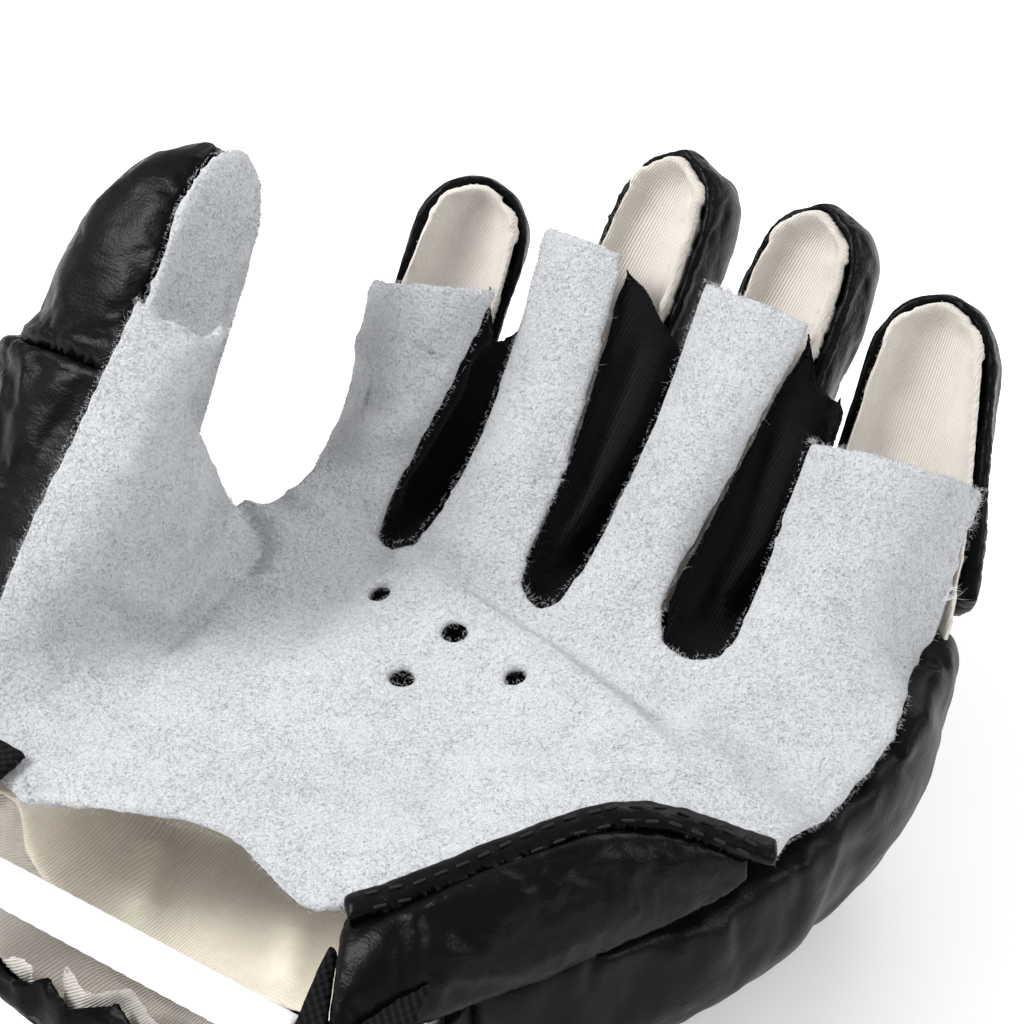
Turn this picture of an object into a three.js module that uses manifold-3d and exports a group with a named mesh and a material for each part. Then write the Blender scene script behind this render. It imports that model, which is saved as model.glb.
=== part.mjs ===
// A padded open-finger sparring glove for the left hand, lying on its back with the palm up.
// +X runs to the little finger, +Y from the wrist to the fingertips and +Z up out of the palm.
// The origin is under the middle of the glove's box, on the surface that it lies on. Millimetres.
//
// Each finger is a tube that curls up off the palm: a suede tab over the front, black knit down the
// sides, and a padded leather hood with a twill lining behind, which runs on past the open tab.
import * as THREE from 'three';
import { mergeVertices } from 'three/addons/utils/BufferGeometryUtils.js';
import Module from 'manifold-3d';

const wasm = await Module();
wasm.setup();

// Driving sizes
const PALM_LENGTH = 80; // wrist edge of the suede to the finger crotches
const PALM_WIDTH = 110; // index side to little-finger side, at the crotches
const HAND_DEPTH = 49; // the surface it lies on to the suede at the crotches
const SUEDE = 1.8; // thickness of the palm leather
const LINING = 1.4; // thickness of the twill
const KNIT = 1.6; // thickness of the gusset fabric
const LEATHER_RIM = 1.6; // leather and lining where a hood's padding runs out at its rim
const FINGER_PADDING = 7; // padding behind a finger
const THUMB_PADDING = 9;
const HAND_PADDING = 17; // padding behind the hand
const CUFF_WALL = 2.2; // gathered leather of the cuff
const CUFF_REACH = 14; // how far the cuff runs past the padding
const CUFF_RISE = 12.6; // how far its gathered edge stands up
const GATHER_DEPTH = 2.2; // how far its folds run in and out
const TAB_LENGTH = 60; // crotch to the open end of the longest suede tab
const FINGER_REACH = 80; // crotch to the tip of the longest hood
const FINGER_WIDTH = 26; // across a finger's tube
const FINGER_DEPTH = 21; // front to back through a finger's tube
const SLOT_ROUND = 0.7; // how the foot of the slot between two tabs rounds in
const THUMB_WIDTH = 26;
const THUMB_DEPTH = 24;
const THUMB_REACH = 129; // wrist edge to the thumb's tip, along its back
const VENT_DIAMETER = 3.8; // punched holes in the palm
const HEEL_SWELL = 9; // how far the heel pad stands up
const WELT_WIDTH = 5; // the stitched strip round the heel pad's inner edge
const TAPE_WIDTH = 7.8; // the white tape across the wrist
const TAPE_THICKNESS = 1.6;
const WEBBING_WIDTH = 17;
const WEBBING_THICKNESS = 1.8;
const REST_SINK = 2.6; // how far the padding is pressed flat where the glove lies
const GAP = 0.55; // air left between neighbouring pieces

// Places in the palm are shares of its length and width, from the crotch between the middle and ring
// fingers, and of the hand's depth, from the surface that it lies on.
const place = ({ across, along, up }) =>
  new THREE.Vector3(PALM_WIDTH * across, PALM_LENGTH * along, HAND_DEPTH * up);

// across, along, up: middle of the finger's root; yaw: turn to the little finger; lift: climb at the
// crotch, halfway and at the tip; roll, turn: turn of the front to the thumb and how much of it is lost
// on the way up, all in degrees; tab, reach: lengths of tab and hood; width: the hood's; root, end:
// widths of the tab; trim: how much its far side is cut in above the crotch; skew: slant of its end;
// lean: how far it hangs to the thumb side; left, right: how far its sides wrap down to the hood;
// start, gusset: how far the knit before and after the finger runs up its tab; foot: where its hood
// starts; shift: how far the hood lies to the little-finger side; lip: extra thickness of its far wall;
// flare: how far that wall spreads at its foot.
const FINGERS = [
  { name: 'index', across: -0.37, along: 0.06, up: 1, yaw: 7, lift: [26, 62, 54], roll: -22, turn: 2,
    tab: 0.7, reach: 0.78, width: 0.8, root: 0.68, end: 0.88, trim: 0.11, skew: 0.1, lean: 0.08,
    left: 1, right: 0.15, start: 1, gusset: 1.04, foot: 0.5, shift: 0.02, lip: 0, flare: 0 },
  { name: 'middle', across: -0.138, along: 0.035, up: 1, yaw: 5.5, lift: [20, 52, 54], roll: 2, turn: 16,
    tab: 0.99, reach: 0.99, width: 0.85, root: 0.83, end: 0.74, trim: 0.08, skew: 0, lean: 0.33,
    left: 0.2, right: 0.2, start: 0.93, gusset: 0.98, foot: 0.5, shift: -0.05, lip: 0.01,
    flare: 0 },
  { name: 'ring', across: 0.13, along: -0.01, up: 1, yaw: 2.8, lift: [18, 48, 54], roll: 0, turn: 16,
    tab: 1, reach: 0.99, width: 0.84, root: 0.9, end: 0.9, trim: 0.28, skew: -0.04, lean: 0.06,
    left: 0.2, right: 0.2, start: 0.84, gusset: 1, foot: 0.5, shift: -0.025, lip: 0.08, flare: 0 },
  { name: 'little', across: 0.427, along: 0.01, up: 0.96, yaw: -3.8, lift: [14, 46, 54], roll: -8, turn: 10,
    tab: 0.7, reach: 0.89, width: 0.85, root: 1.15, end: 1.16, trim: 0, skew: 0, lean: -0.03,
    left: 0.2, right: 1, start: 1.25, gusset: 1, foot: 1, shift: 0, lip: 0, flare: 0.38 },
];

const THUMB_SPLIT = 0.685; // where the lower part of the thumb's back ends, as a share of its reach
const THUMB = { across: -0.6, along: -1, up: 0.55, yaw: 1, lift: [10, 60, 48], roll: -78, turn: -12 };

// How thick the thumb's padded back is along its reach
const THUMB_BACK = [
  { at: 0.16, swell: 0.3 },
  { at: 0.42, swell: 1.12 },
  { at: 0.685, swell: 1.3 },
  { at: 0.7, swell: 1.02 },
  { at: 1, swell: 1 },
];

// Wrist end of the suede, from the thumb side to the little-finger side
const WRIST_EDGE = [
  { at: 0, across: -0.46, along: -0.97, up: 0.94 },
  { at: 0.12, across: -0.39, along: -0.945, up: 0.97 },
  { at: 0.3, across: -0.17, along: -0.89, up: 1 },
  { at: 0.44, across: 0.0, along: -0.99, up: 1 },
  { at: 0.5, across: 0.055, along: -0.97, up: 1.02 },
  { at: 0.68, across: 0.27, along: -0.69, up: 1.12 },
  { at: 0.8, across: 0.36, along: -0.58, up: 1.12 },
  { at: 1, across: 0.53, along: -0.49, up: 1 },
];

// Index-side edge of the palm, from the index finger down to the wrist
const THUMB_SIDE = [
  { at: 0, across: -0.46, along: 0.05, up: 0.97 },
  { at: 0.12, across: -0.495, along: 0.02, up: 0.98 },
  { at: 0.3, across: -0.52, along: -0.04, up: 1.03 },
  { at: 0.4, across: -0.46, along: -0.22, up: 0.97 },
  { at: 0.5, across: -0.44, along: -0.45, up: 0.95 },
  { at: 0.75, across: -0.46, along: -0.75, up: 0.97 },
  { at: 1, across: -0.46, along: -0.97, up: 0.94 },
];

// Web between the thumb and the palm, from the palm up to the hem, and the seam with the leather
const WEB = [
  { at: 0, across: -0.52, along: -0.04, up: 1.03 },
  { at: 0.3, across: -0.485, along: -0.13, up: 1.25 },
  { at: 0.7, across: -0.525, along: -0.155, up: 1.63 },
  { at: 1, across: -0.48, along: -0.09, up: 1.84 },
];
const THUMB_SEAM = [
  { at: 0, across: -0.46, along: -0.97, up: 0.94 },
  { at: 0.15, across: -0.6, along: -0.86, up: 0.96 },
  { at: 0.4, across: -0.63, along: -0.66, up: 1.27 },
  { at: 0.7, across: -0.61, along: -0.45, up: 1.63 },
  { at: 1, across: -0.56, along: -0.25, up: 2.06 },
];

// Padded back, from the wrist to the knuckles: height of its underside and of its two rims, tilt in
// degrees, and where its sides are
const HAND_BACK = [
  { along: -0.9, up: 0.0, tilt: 0, left: -0.6, right: 0.25, leftRim: 0.84, rightRim: 0.73 },
  { along: -0.78, up: 0.0, tilt: 0, left: -0.6, right: 0.34, leftRim: 0.84, rightRim: 0.78 },
  { along: -0.55, up: 0.0, tilt: 0, left: -0.6, right: 0.47, leftRim: 0.48, rightRim: 0.75 },
  { along: -0.31, up: 0.0, tilt: 0, left: -0.56, right: 0.55, leftRim: 0.82, rightRim: 0.79 },
  { along: 0.0, up: 0.0, tilt: 3, left: -0.5, right: 0.595, leftRim: 0.9, rightRim: 0.86 },
  { along: 0.17, up: 0.04, tilt: 12, left: -0.49, right: 0.6, leftRim: 0.82, rightRim: 0.88 },
  { along: 0.3, up: 0.14, tilt: 20, left: -0.48, right: 0.595, leftRim: 0.72, rightRim: 0.82 },
  { along: 0.42, up: 0.37, tilt: 27, left: -0.47, right: 0.585, leftRim: 0.5, rightRim: 0.6 },
  { along: 0.5, up: 0.52, tilt: 28, left: -0.46, right: 0.568, leftRim: 0.36, rightRim: 0.42 },
];

// Crease between the heel pad and the roll round the hand, from the wrist to the little-finger side
const HEEL_FOLD = [
  { at: 0, across: 0.12, along: -1.2, up: 0.8 },
  { at: 0.3, across: 0.2, along: -1.07, up: 0.82 },
  { at: 0.6, across: 0.31, along: -0.88, up: 0.84 },
  { at: 0.85, across: 0.43, along: -0.65, up: 0.9 },
  { at: 1, across: 0.52, along: -0.51, up: 1 },
];

const TAPE = [
  { at: 0, across: -0.538, along: -1.085, up: 0.83 },
  { at: 1, across: 0.08, along: -1.2, up: 0.83 },
];
const WEBBING_LITTLE = [
  { at: 0, across: 0.135, along: -1.03, up: 0.95 },
  { at: 0.4, across: 0.138, along: -1.11, up: 0.9 },
  { at: 1, across: 0.145, along: -1.25, up: 0.77 },
];
const WEBBING_THUMB = [
  { at: 0, across: -0.555, along: -0.86, up: 1.0 },
  { at: 0.5, across: -0.57, along: -0.97, up: 0.97 },
  { at: 1, across: -0.585, along: -1.09, up: 0.87 },
];

const VENTS = [
  { across: -0.232, along: -0.117 },
  { across: -0.089, along: -0.16 },
  { across: -0.119, along: -0.312 },
  { across: 0.034, along: -0.222 },
];

const { lerp, smoothstep, clamp, degToRad } = THREE.MathUtils;
const vec = (x, y, z) => new THREE.Vector3(x, y, z);
const mix = (a, b, share) => a.clone().lerp(b, share);
const steps = (count) => Array.from({ length: count + 1 }, (_, i) => i / count);

// A smooth line through the rows of a table, read by its "at" column
function through(rows) {
  const points = rows.map(place);
  const slopes = points.map((point, i) => {
    const a = Math.max(i - 1, 0);
    const b = Math.min(i + 1, points.length - 1);
    return points[b].clone().sub(points[a]).divideScalar(rows[b].at - rows[a].at);
  });
  return (at) => {
    let i = 0;
    while (i < rows.length - 2 && at > rows[i + 1].at) {
      i += 1;
    }
    const span = rows[i + 1].at - rows[i].at;
    const t = clamp((at - rows[i].at) / span, 0, 1);
    return hermite(points[i], slopes[i], points[i + 1], slopes[i + 1], t, span);
  };
}

function hermite(a, slopeA, b, slopeB, t, span) {
  const rest = 1 - t;
  return vec(0, 0, 0)
    .addScaledVector(a, (1 + 2 * t) * rest * rest)
    .addScaledVector(slopeA, span * t * rest * rest)
    .addScaledVector(b, t * t * (3 - 2 * t))
    .addScaledVector(slopeB, -span * t * t * rest);
}

// The middle line of a finger's front, which bends evenly upward: its place and facing at a distance
function curl({ root, yaw, lift, roll, turn = 0, length }) {
  const count = 40;
  const heading = vec(Math.sin(degToRad(yaw)), Math.cos(degToRad(yaw)), 0);
  const side = vec(heading.y, -heading.x, 0);
  const frames = [];
  const middle = root.clone();
  for (const t of steps(count)) {
    const climb = degToRad(lift[0] * (1 - t) ** 2 + 2 * lift[1] * t * (1 - t) + lift[2] * t * t);
    const twist = degToRad(roll + turn * t);
    const along = heading.clone().multiplyScalar(Math.cos(climb)).setZ(Math.sin(climb));
    const over = heading.clone().multiplyScalar(-Math.sin(climb)).setZ(Math.cos(climb));
    const front = over.clone().multiplyScalar(Math.cos(twist)).addScaledVector(side, -Math.sin(twist));
    const across = side.clone().multiplyScalar(Math.cos(twist)).addScaledVector(over, Math.sin(twist));
    frames.push({ middle: middle.clone(), along, across, front });
    middle.addScaledVector(along, length / count);
  }
  return (distance) => {
    const at = clamp((distance / length) * count, 0, count - 0.001);
    const i = Math.floor(at);
    const blend = (key) => mix(frames[i][key], frames[i + 1][key], at - i);
    return {
      middle: blend('middle').addScaledVector(frames[i].along, Math.min(distance, 0)),
      along: blend('along').normalize(),
      across: blend('across').normalize(),
      front: blend('front').normalize(),
    };
  };
}

const offset = (frame, across, front, along = 0) => frame.middle.clone()
  .addScaledVector(frame.across, across)
  .addScaledVector(frame.front, front)
  .addScaledVector(frame.along, along);

// A solid from points and faces, turned right side out
function solid(points, faces) {
  const span = (a, b) => points[a].distanceTo(points[b]);
  const triangles = faces.flatMap(([a, b, c, d]) => {
    if (d === undefined) {
      return [[a, b, c]];
    }
    return span(a, c) < span(b, d) ? [[a, b, c], [a, c, d]] : [[a, b, d], [b, c, d]];
  });
  const volume = triangles.reduce((sum, [a, b, c]) =>
    sum + points[a].dot(points[b].clone().cross(points[c])), 0);
  if (volume < 0) {
    triangles.forEach((triangle) => triangle.reverse());
  }
  const geometry = new THREE.BufferGeometry();
  geometry.setAttribute('position', new THREE.Float32BufferAttribute(
    points.flatMap((point) => point.toArray()), 3));
  geometry.setIndex(triangles.flat());
  return geometry;
}

// The solid between two grids of points that match row for row
function between(outer, inner) {
  const rows = outer.length;
  const columns = outer[0].length;
  const points = [...outer.flat(), ...inner.flat()];
  const shift = rows * columns;
  const faces = [];
  for (let r = 0; r < rows - 1; r += 1) {
    for (let c = 0; c < columns - 1; c += 1) {
      const a = r * columns + c;
      const face = [a, a + 1, a + 1 + columns, a + columns];
      faces.push(face, face.map((index) => index + shift).reverse());
    }
  }
  return solid(points, [...faces, ...walls(faces.filter((_, i) => i % 2 === 0), shift)]);
}

// The walls that close a sheet round its free edges
function walls(faces, shift) {
  const edges = new Map();
  for (const face of faces) {
    face.forEach((from, i) => {
      const to = face[(i + 1) % face.length];
      const back = `${to},${from}`;
      if (edges.has(back)) {
        edges.delete(back);
      } else {
        edges.set(`${from},${to}`, [from, to]);
      }
    });
  }
  return [...edges.values()].map(([from, to]) => [to, from, from + shift, to + shift]);
}

// The direction straight off a sheet at each of its points
function facings(points, faces) {
  const normals = points.map(() => vec(0, 0, 0));
  for (const face of faces) {
    const [a, b, c, d = face[0]] = face;
    const normal = points[c].clone().sub(points[a]).cross(points[d].clone().sub(points[b]));
    face.forEach((index) => normals[index].add(normal));
  }
  return normals.map((normal) => normal.normalize());
}

// A sheet of cloth or leather with its outer side on the given points
function cloth(points, faces, thickness) {
  const under = facings(points, faces).map((normal, i) =>
    points[i].clone().addScaledVector(normal, -thickness));
  const back = faces.map((face) => face.map((index) => index + points.length).reverse());
  return solid([...points, ...under], [...faces, ...back, ...walls(faces, points.length)]);
}

function gridFaces(rows, columns) {
  const faces = [];
  for (let r = 0; r < rows - 1; r += 1) {
    for (let c = 0; c < columns - 1; c += 1) {
      const a = r * columns + c;
      faces.push([a, a + 1, a + 1 + columns, a + columns]);
    }
  }
  return faces;
}

const clothGrid = (grid, thickness) =>
  cloth(grid.flat(), gridFaces(grid.length, grid[0].length), thickness);

function manifold(geometry) {
  return new wasm.Manifold(new wasm.Mesh({
    numProp: 3,
    vertProperties: new Float32Array(geometry.attributes.position.array),
    triVerts: new Uint32Array(geometry.index.array),
  }));
}

function fromManifold(shape) {
  const { vertProperties, triVerts } = shape.getMesh();
  const geometry = new THREE.BufferGeometry();
  geometry.setAttribute('position', new THREE.Float32BufferAttribute(vertProperties, 3));
  geometry.setIndex(Array.from(triVerts));
  return geometry;
}

// Nothing hangs below the surface that the glove lies on
function rested(grid) {
  return grid.map((row) => row.map((point) => {
    const sunk = REST_SINK * (1 - clamp(point.z / HAND_DEPTH, 0, 1));
    return point.clone().setZ(Math.max(point.z - sunk, 0));
  }));
}

// The fingers

for (const finger of FINGERS) {
  finger.half = (FINGER_WIDTH * finger.width) / 2;
  finger.cut = TAB_LENGTH * finger.tab;
  finger.tip = FINGER_REACH * finger.reach;
  finger.path = curl({ ...finger, root: place(finger), length: finger.tip });
}

// A point of a finger's tab: side runs from -1 at the thumb side to 1
function tabPoint(finger, distance, side) {
  const frame = finger.path(distance);
  const share = Math.max(distance / finger.cut, 0);
  const closing = SLOT_ROUND * (1 - smoothstep(distance, 0, SLOT_ROUND * 3));
  const half = (FINGER_WIDTH * lerp(finger.root, finger.end, smoothstep(share, 0, 1))) / 2 + closing;
  const drape = smoothstep(share, 0, 0.5);
  const rim = depths(finger, distance).rim - SUEDE * 1.4;
  const wrap = rim * (side < 0 ? finger.left : finger.right) * side * side;
  const hang = FINGER_WIDTH * finger.lean * share ** 1.5;
  const bite = 0.62 + 0.38 * smoothstep(distance, 0, TAB_LENGTH * 0.12);
  const trim = FINGER_WIDTH * finger.trim * bite * (1 - share * share) * Math.max(side, 0);
  const slant = FINGER_WIDTH * finger.skew * side * share ** 3;
  const crown = half * 0.3 * (1 - side * side) * (0.2 + 0.8 * drape);
  return offset(frame, half * side - hang - trim, crown - wrap * drape, slant);
}

// How deep a finger's tube is at a distance: its rims, its lining and its outside
function depths(finger, distance) {
  const open = smoothstep(distance, 8, 34);
  const rim = lerp(FINGER_DEPTH * 0.85, FINGER_DEPTH * 0.42, open);
  const bed = rim + FINGER_DEPTH * lerp(0.5, 0.3, open);
  return { rim, bed, back: rim + FINGER_DEPTH * 0.5 + FINGER_PADDING };
}

// A row of a hood's section: inset moves it in from the leather's outside, level picks its depth
function hoodRow(finger, distance, tip, inset, level, count) {
  const frame = finger.path(distance);
  const { rim, ...depth } = depths(finger, distance);
  const round = finger.half * 1.15;
  const left = clamp((tip - distance) / round, 0, 1);
  const taper = Math.sqrt(Math.max(1 - (1 - left) ** 2, 0.001));
  const half = (finger.half - inset) * taper;
  const deep = (depth[level] - rim) * lerp(1, taper, 0.8);
  const spread = FINGER_WIDTH * (level === 'back' ? finger.flare : finger.flare * 0.8 - finger.lip);
  const flare = spread * (1 - smoothstep(distance, HOOD_START, tip));
  return steps(count).map((share) => {
    const angle = Math.PI * (share - 0.5);
    const side = Math.sin(angle);
    const down = Math.abs(Math.cos(angle)) ** 0.8;
    const across = half * side + flare * Math.max(side, 0) + FINGER_WIDTH * finger.shift;
    return offset(frame, across, -rim - deep * down);
  });
}

const HOOD_START = FINGER_WIDTH * 0.5; // from the crotch to where a hood is widest

function hood(finger) {
  const rows = steps(10);
  const foot = FINGER_WIDTH * finger.foot;
  const outer = rows.map((v) => {
    const at = lerp(foot, finger.tip, 1 - (1 - v) ** 1.35);
    return hoodRow(finger, at, finger.tip, 0, 'back', 10);
  });
  const innerTip = finger.tip - LEATHER_RIM;
  const inner = rows.map((v) => {
    const at = lerp(foot, innerTip, 1 - (1 - v) ** 1.35);
    return hoodRow(finger, at, innerTip, LEATHER_RIM, 'bed', 10);
  });
  return between(rested(outer), inner);
}

function fingerLining(finger) {
  const rows = steps(8);
  const skin = (inset, lift) => rows.map((v) => {
    const tip = finger.tip - LEATHER_RIM - inset;
    const at = lerp(HOOD_START + 1, tip, 1 - (1 - v) ** 1.35);
    const front = finger.path(at).front;
    return hoodRow(finger, at, tip, LEATHER_RIM + inset, 'bed', 8)
      .map((point) => point.addScaledVector(front, lift));
  });
  return between(skin(GAP, GAP), skin(GAP + LINING * 0.8, GAP + LINING));
}

// The suede palm with its four tabs and the front of the thumb, cut in one piece

const TAB_COLUMNS = 6;
const TAB_ROWS = 8;
const PALM_ROWS = 10;
const WEB_ROW = 3; // palm row where the thumb's web leaves the palm

// Relief of the palm: the soft fold that runs across it below the fingers
function relief(point) {
  const x = point.x / PALM_WIDTH;
  const y = point.y / PALM_LENGTH;
  const crest = -0.1 - 0.32 * (x + 0.22) - 0.28 * Math.max(x, 0) ** 2;
  const fold = Math.exp(-(((y - crest) / 0.06) ** 2));
  const hollow = Math.exp(-(((y - crest - 0.17) / 0.1) ** 2));
  const cup = Math.exp(-((x / 0.3) ** 2) - (((y + 0.5) / 0.28) ** 2));
  return HAND_DEPTH * (0.045 * fold - 0.04 * hollow - 0.05 * cup);
}

function palm() {
  const points = [];
  const faces = [];
  const add = (point) => points.push(point) - 1;
  const crotchRow = [];
  const tabEdges = [];

  for (const [i, finger] of FINGERS.entries()) {
    const first = crotchRow.length;
    for (const share of steps(TAB_COLUMNS)) {
      crotchRow.push(add(tabPoint(finger, 0, share * 2 - 1)));
    }
    const row = crotchRow.slice(first);
    const grid = [row];
    for (const v of steps(TAB_ROWS).slice(1)) {
      grid.push(steps(TAB_COLUMNS).map((share) =>
        add(tabPoint(finger, finger.cut * v, share * 2 - 1))));
    }
    tabEdges.push(grid);
    for (let r = 0; r < TAB_ROWS; r += 1) {
      for (let c = 0; c < TAB_COLUMNS; c += 1) {
        faces.push([grid[r][c], grid[r][c + 1], grid[r + 1][c + 1], grid[r + 1][c]]);
      }
    }
    if (i < FINGERS.length - 1) {
      const next = FINGERS[i + 1];
      const a = tabPoint(finger, 0, 1);
      const b = tabPoint(next, 0, -1);
      const back = a.distanceTo(b) * 0.12;
      crotchRow.push(add(mix(a, b, 0.5)
        .addScaledVector(finger.path(0).along, -back)
        .add(vec(0, 0, -0.6))));
    }
  }

  const wrist = through(WRIST_EDGE);
  const side = through(THUMB_SIDE);
  const width = crotchRow.length - 1;
  let above = crotchRow;
  const thumbSide = [crotchRow[0]];
  for (const v of steps(PALM_ROWS).slice(1)) {
    const row = crotchRow.map((start, c) => {
      const u = c / width;
      const top = points[start];
      const bottom = wrist(u);
      const reach = bottom.distanceTo(top);
      const away = vec(0.15 * (u - 0.5), -Math.cos(0.35), -Math.sin(0.35));
      const point = hermite(top, away.multiplyScalar(reach * 0.6), bottom,
        bottom.clone().sub(top), v, 1);
      const level = Math.sin(Math.PI * v) ** 0.5;
      const pull = (1 - smoothstep(u, 0, 0.16));
      point.lerp(side(v), pull ** 2);
      point.z += relief(point) * level * (1 - pull);
      return add(point);
    });
    for (let c = 0; c < width; c += 1) {
      faces.push([row[c], row[c + 1], above[c + 1], above[c]]);
    }
    thumbSide.push(row[0]);
    above = row;
  }

  // The thumb's front, from the palm's edge to its open hem
  const base = thumbSide.slice(WEB_ROW);
  const web = through(WEB);
  const seam = through(THUMB_SEAM);
  let lower = base;
  const last = base.length - 1;
  for (const v of steps(9).slice(1)) {
    const row = base.map((start, c) => {
      const u = c / last;
      const hem = mix(web(1), seam(1), u);
      const low = points[start];
      const rails = mix(web(v), seam(v), u);
      const sides = mix(mix(web(0), seam(0), u), mix(web(1), seam(1), u), v);
      const point = mix(low, hem, v).add(rails).sub(sides);
      const bulge = Math.sin(Math.PI * u) * smoothstep(v, 0.15, 0.7);
      return add(point.add(vec(THUMB_WIDTH * 0.26 * bulge, -THUMB_WIDTH * 0.12 * bulge, 0)));
    });
    for (let c = 0; c < last; c += 1) {
      faces.push([row[c], row[c + 1], lower[c + 1], lower[c]]);
    }
    lower = row;
  }

  let shape = manifold(cloth(points, faces, SUEDE));
  for (const vent of VENTS) {
    shape = shape.subtract(punch(vent));
  }
  return fromManifold(shape);
}

// A round hole straight down through the palm
function punch(vent) {
  const middle = place({ ...vent, up: 1 });
  const geometry = new THREE.CylinderGeometry(VENT_DIAMETER / 2, VENT_DIAMETER / 2, HAND_DEPTH * 0.5, 10);
  geometry.rotateX(Math.PI / 2);
  geometry.translate(middle.x, middle.y, middle.z);
  geometry.deleteAttribute('normal');
  geometry.deleteAttribute('uv');
  return manifold(mergeVertices(geometry));
}

// The knit gusset between two fingers: down from one tab, across the valley and up to the next
function gusset(left, right) {
  const rows = steps(9).map((v) => {
    const a = lerp(-FINGER_WIDTH * 0.22, left.cut * left.gusset, v);
    const b = lerp(-FINGER_WIDTH * 0.22, right.cut * right.start, v);
    const frameA = left.path(a);
    const frameB = right.path(b);
    const dip = FINGER_DEPTH * 0.4 * smoothstep(v, 0.3, 1);
    const under = (SUEDE + GAP) * 1.35;
    const edgeA = tabPoint(left, a, 0.82).addScaledVector(frameA.front, -under);
    const edgeB = tabPoint(right, b, -0.82).addScaledVector(frameB.front, -under);
    const open = smoothstep(v, 0.1, 0.45);
    const clear = KNIT + GAP * 1.6;
    const rimA = offset(left.path(a - dip), left.half, -depths(left, a).rim + clear);
    const rimB = offset(right.path(b - dip * 0.5), -right.half, -depths(right, b).rim + clear);
    const valley = mix(rimA, rimB, 0.5)
      .addScaledVector(frameA.front, -FINGER_DEPTH * 0.12 * open);
    const footA = mix(edgeA, rimA, 0.2 + 0.8 * open);
    const footB = mix(edgeB, rimB, 0.2 + 0.8 * open);
    const low = mix(mix(edgeA, edgeB, 0.5), valley, 0.25 + 0.75 * open);
    const bulgeA = mix(edgeA, footA, 0.5).addScaledVector(frameA.across, FINGER_WIDTH * 0.05);
    const bulgeB = mix(edgeB, footB, 0.5).addScaledVector(frameB.across, -FINGER_WIDTH * 0.05);
    return [edgeA, bulgeA, footA, low, footB, bulgeB, edgeB];
  });
  return clothGrid(rows, KNIT);
}

// A column of a table, read between its rows
function column(rows, key, at) {
  let i = 0;
  while (i < rows.length - 2 && at > rows[i + 1].at) {
    i += 1;
  }
  return lerp(rows[i][key], rows[i + 1][key], smoothstep(at, rows[i].at, rows[i + 1].at));
}

// The padded back of the hand, a tray whose sides roll up and whose front turns up at the knuckles

const line = (rows, key) => (v) => {
  const at = clamp(v, 0, 0.9999) * (rows.length - 1);
  const i = Math.floor(at);
  return lerp(rows[i][key], rows[i + 1][key], at - i);
};

function trayPoint(v, angle, inset, floor) {
  const read = (key) => line(HAND_BACK, key)(v);
  const tilt = degToRad(read('tilt'));
  const left = PALM_WIDTH * read('left') + inset;
  const right = PALM_WIDTH * read('right') - inset;
  const side = Math.sign(Math.sin(angle)) * Math.abs(Math.sin(angle)) ** 0.75;
  const rim = HAND_DEPTH * lerp(read('leftRim'), read('rightRim'), (side + 1) / 2);
  const down = Math.max(Math.cos(angle), 0) ** 0.6;
  const level = lerp(rim, floor, down);
  const x = lerp(left, right, (side + 1) / 2);
  return vec(
    x,
    PALM_LENGTH * read('along') - level * Math.sin(tilt),
    HAND_DEPTH * read('up') + level * Math.cos(tilt),
  );
}

function tray(rows, columns, inset, floor, from = 0, to = 1) {
  return steps(rows).map((v) => steps(columns).map((u) =>
    trayPoint(lerp(from, to, v), Math.PI * (u - 0.5), inset, floor)));
}

const handBack = () => between(
  rested(tray(16, 14, 0, 0)),
  tray(16, 14, HAND_PADDING * 0.62, HAND_PADDING),
);

// The lining's skins run past the wrist end of the padding and turn over its wall at the thumb side
function liningSkin(inset) {
  const rows = tray(10, 12, HAND_PADDING * 0.62 + inset, HAND_PADDING + inset, 0.01, 0.8);
  const past = rows[0].map((point) => point.clone().setY(-PALM_LENGTH * 0.9 - GAP - LINING * 1.4));
  return [past, ...rows].map((row) => {
    row[0].z += inset;
    const over = row[0].clone().add(vec(-HAND_PADDING * 0.5, 0, GAP * 0.5));
    return [over, ...row];
  });
}

const handLining = () => between(liningSkin(GAP), liningSkin(GAP + LINING));

// The thumb's padded back in two segments, and the suede that faces its tip

const thumbPath = curl({ ...THUMB, root: place(THUMB), length: THUMB_REACH });

function thumbRow(distance, tip, inset, deep, count) {
  const frame = thumbPath(distance);
  const left = clamp((tip - distance) / (THUMB_WIDTH * 1.1), 0, 1);
  const taper = Math.sqrt(Math.max(1 - (1 - left) ** 2, 0.02));
  const half = (THUMB_WIDTH / 2 - inset) * lerp(1, taper, 0.85);
  const swell = column(THUMB_BACK, 'swell', distance / THUMB_REACH);
  return steps(count).map((share) => {
    const angle = Math.PI * (share - 0.5);
    const down = Math.cos(angle) ** 0.75;
    return offset(frame, half * Math.sin(angle), -2 - deep * down * taper * swell);
  });
}

function thumbBack(from, to, tip) {
  const rows = steps(10).map((v) => lerp(from, to, v));
  const inner = THUMB_DEPTH - THUMB_PADDING;
  return between(
    rested(rows.map((at) => thumbRow(at, tip, 0, THUMB_DEPTH, 12))),
    rested(rows.map((at) => thumbRow(Math.min(at, tip - LEATHER_RIM), tip - LEATHER_RIM,
      LEATHER_RIM, inner, 12))),
  );
}

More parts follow.
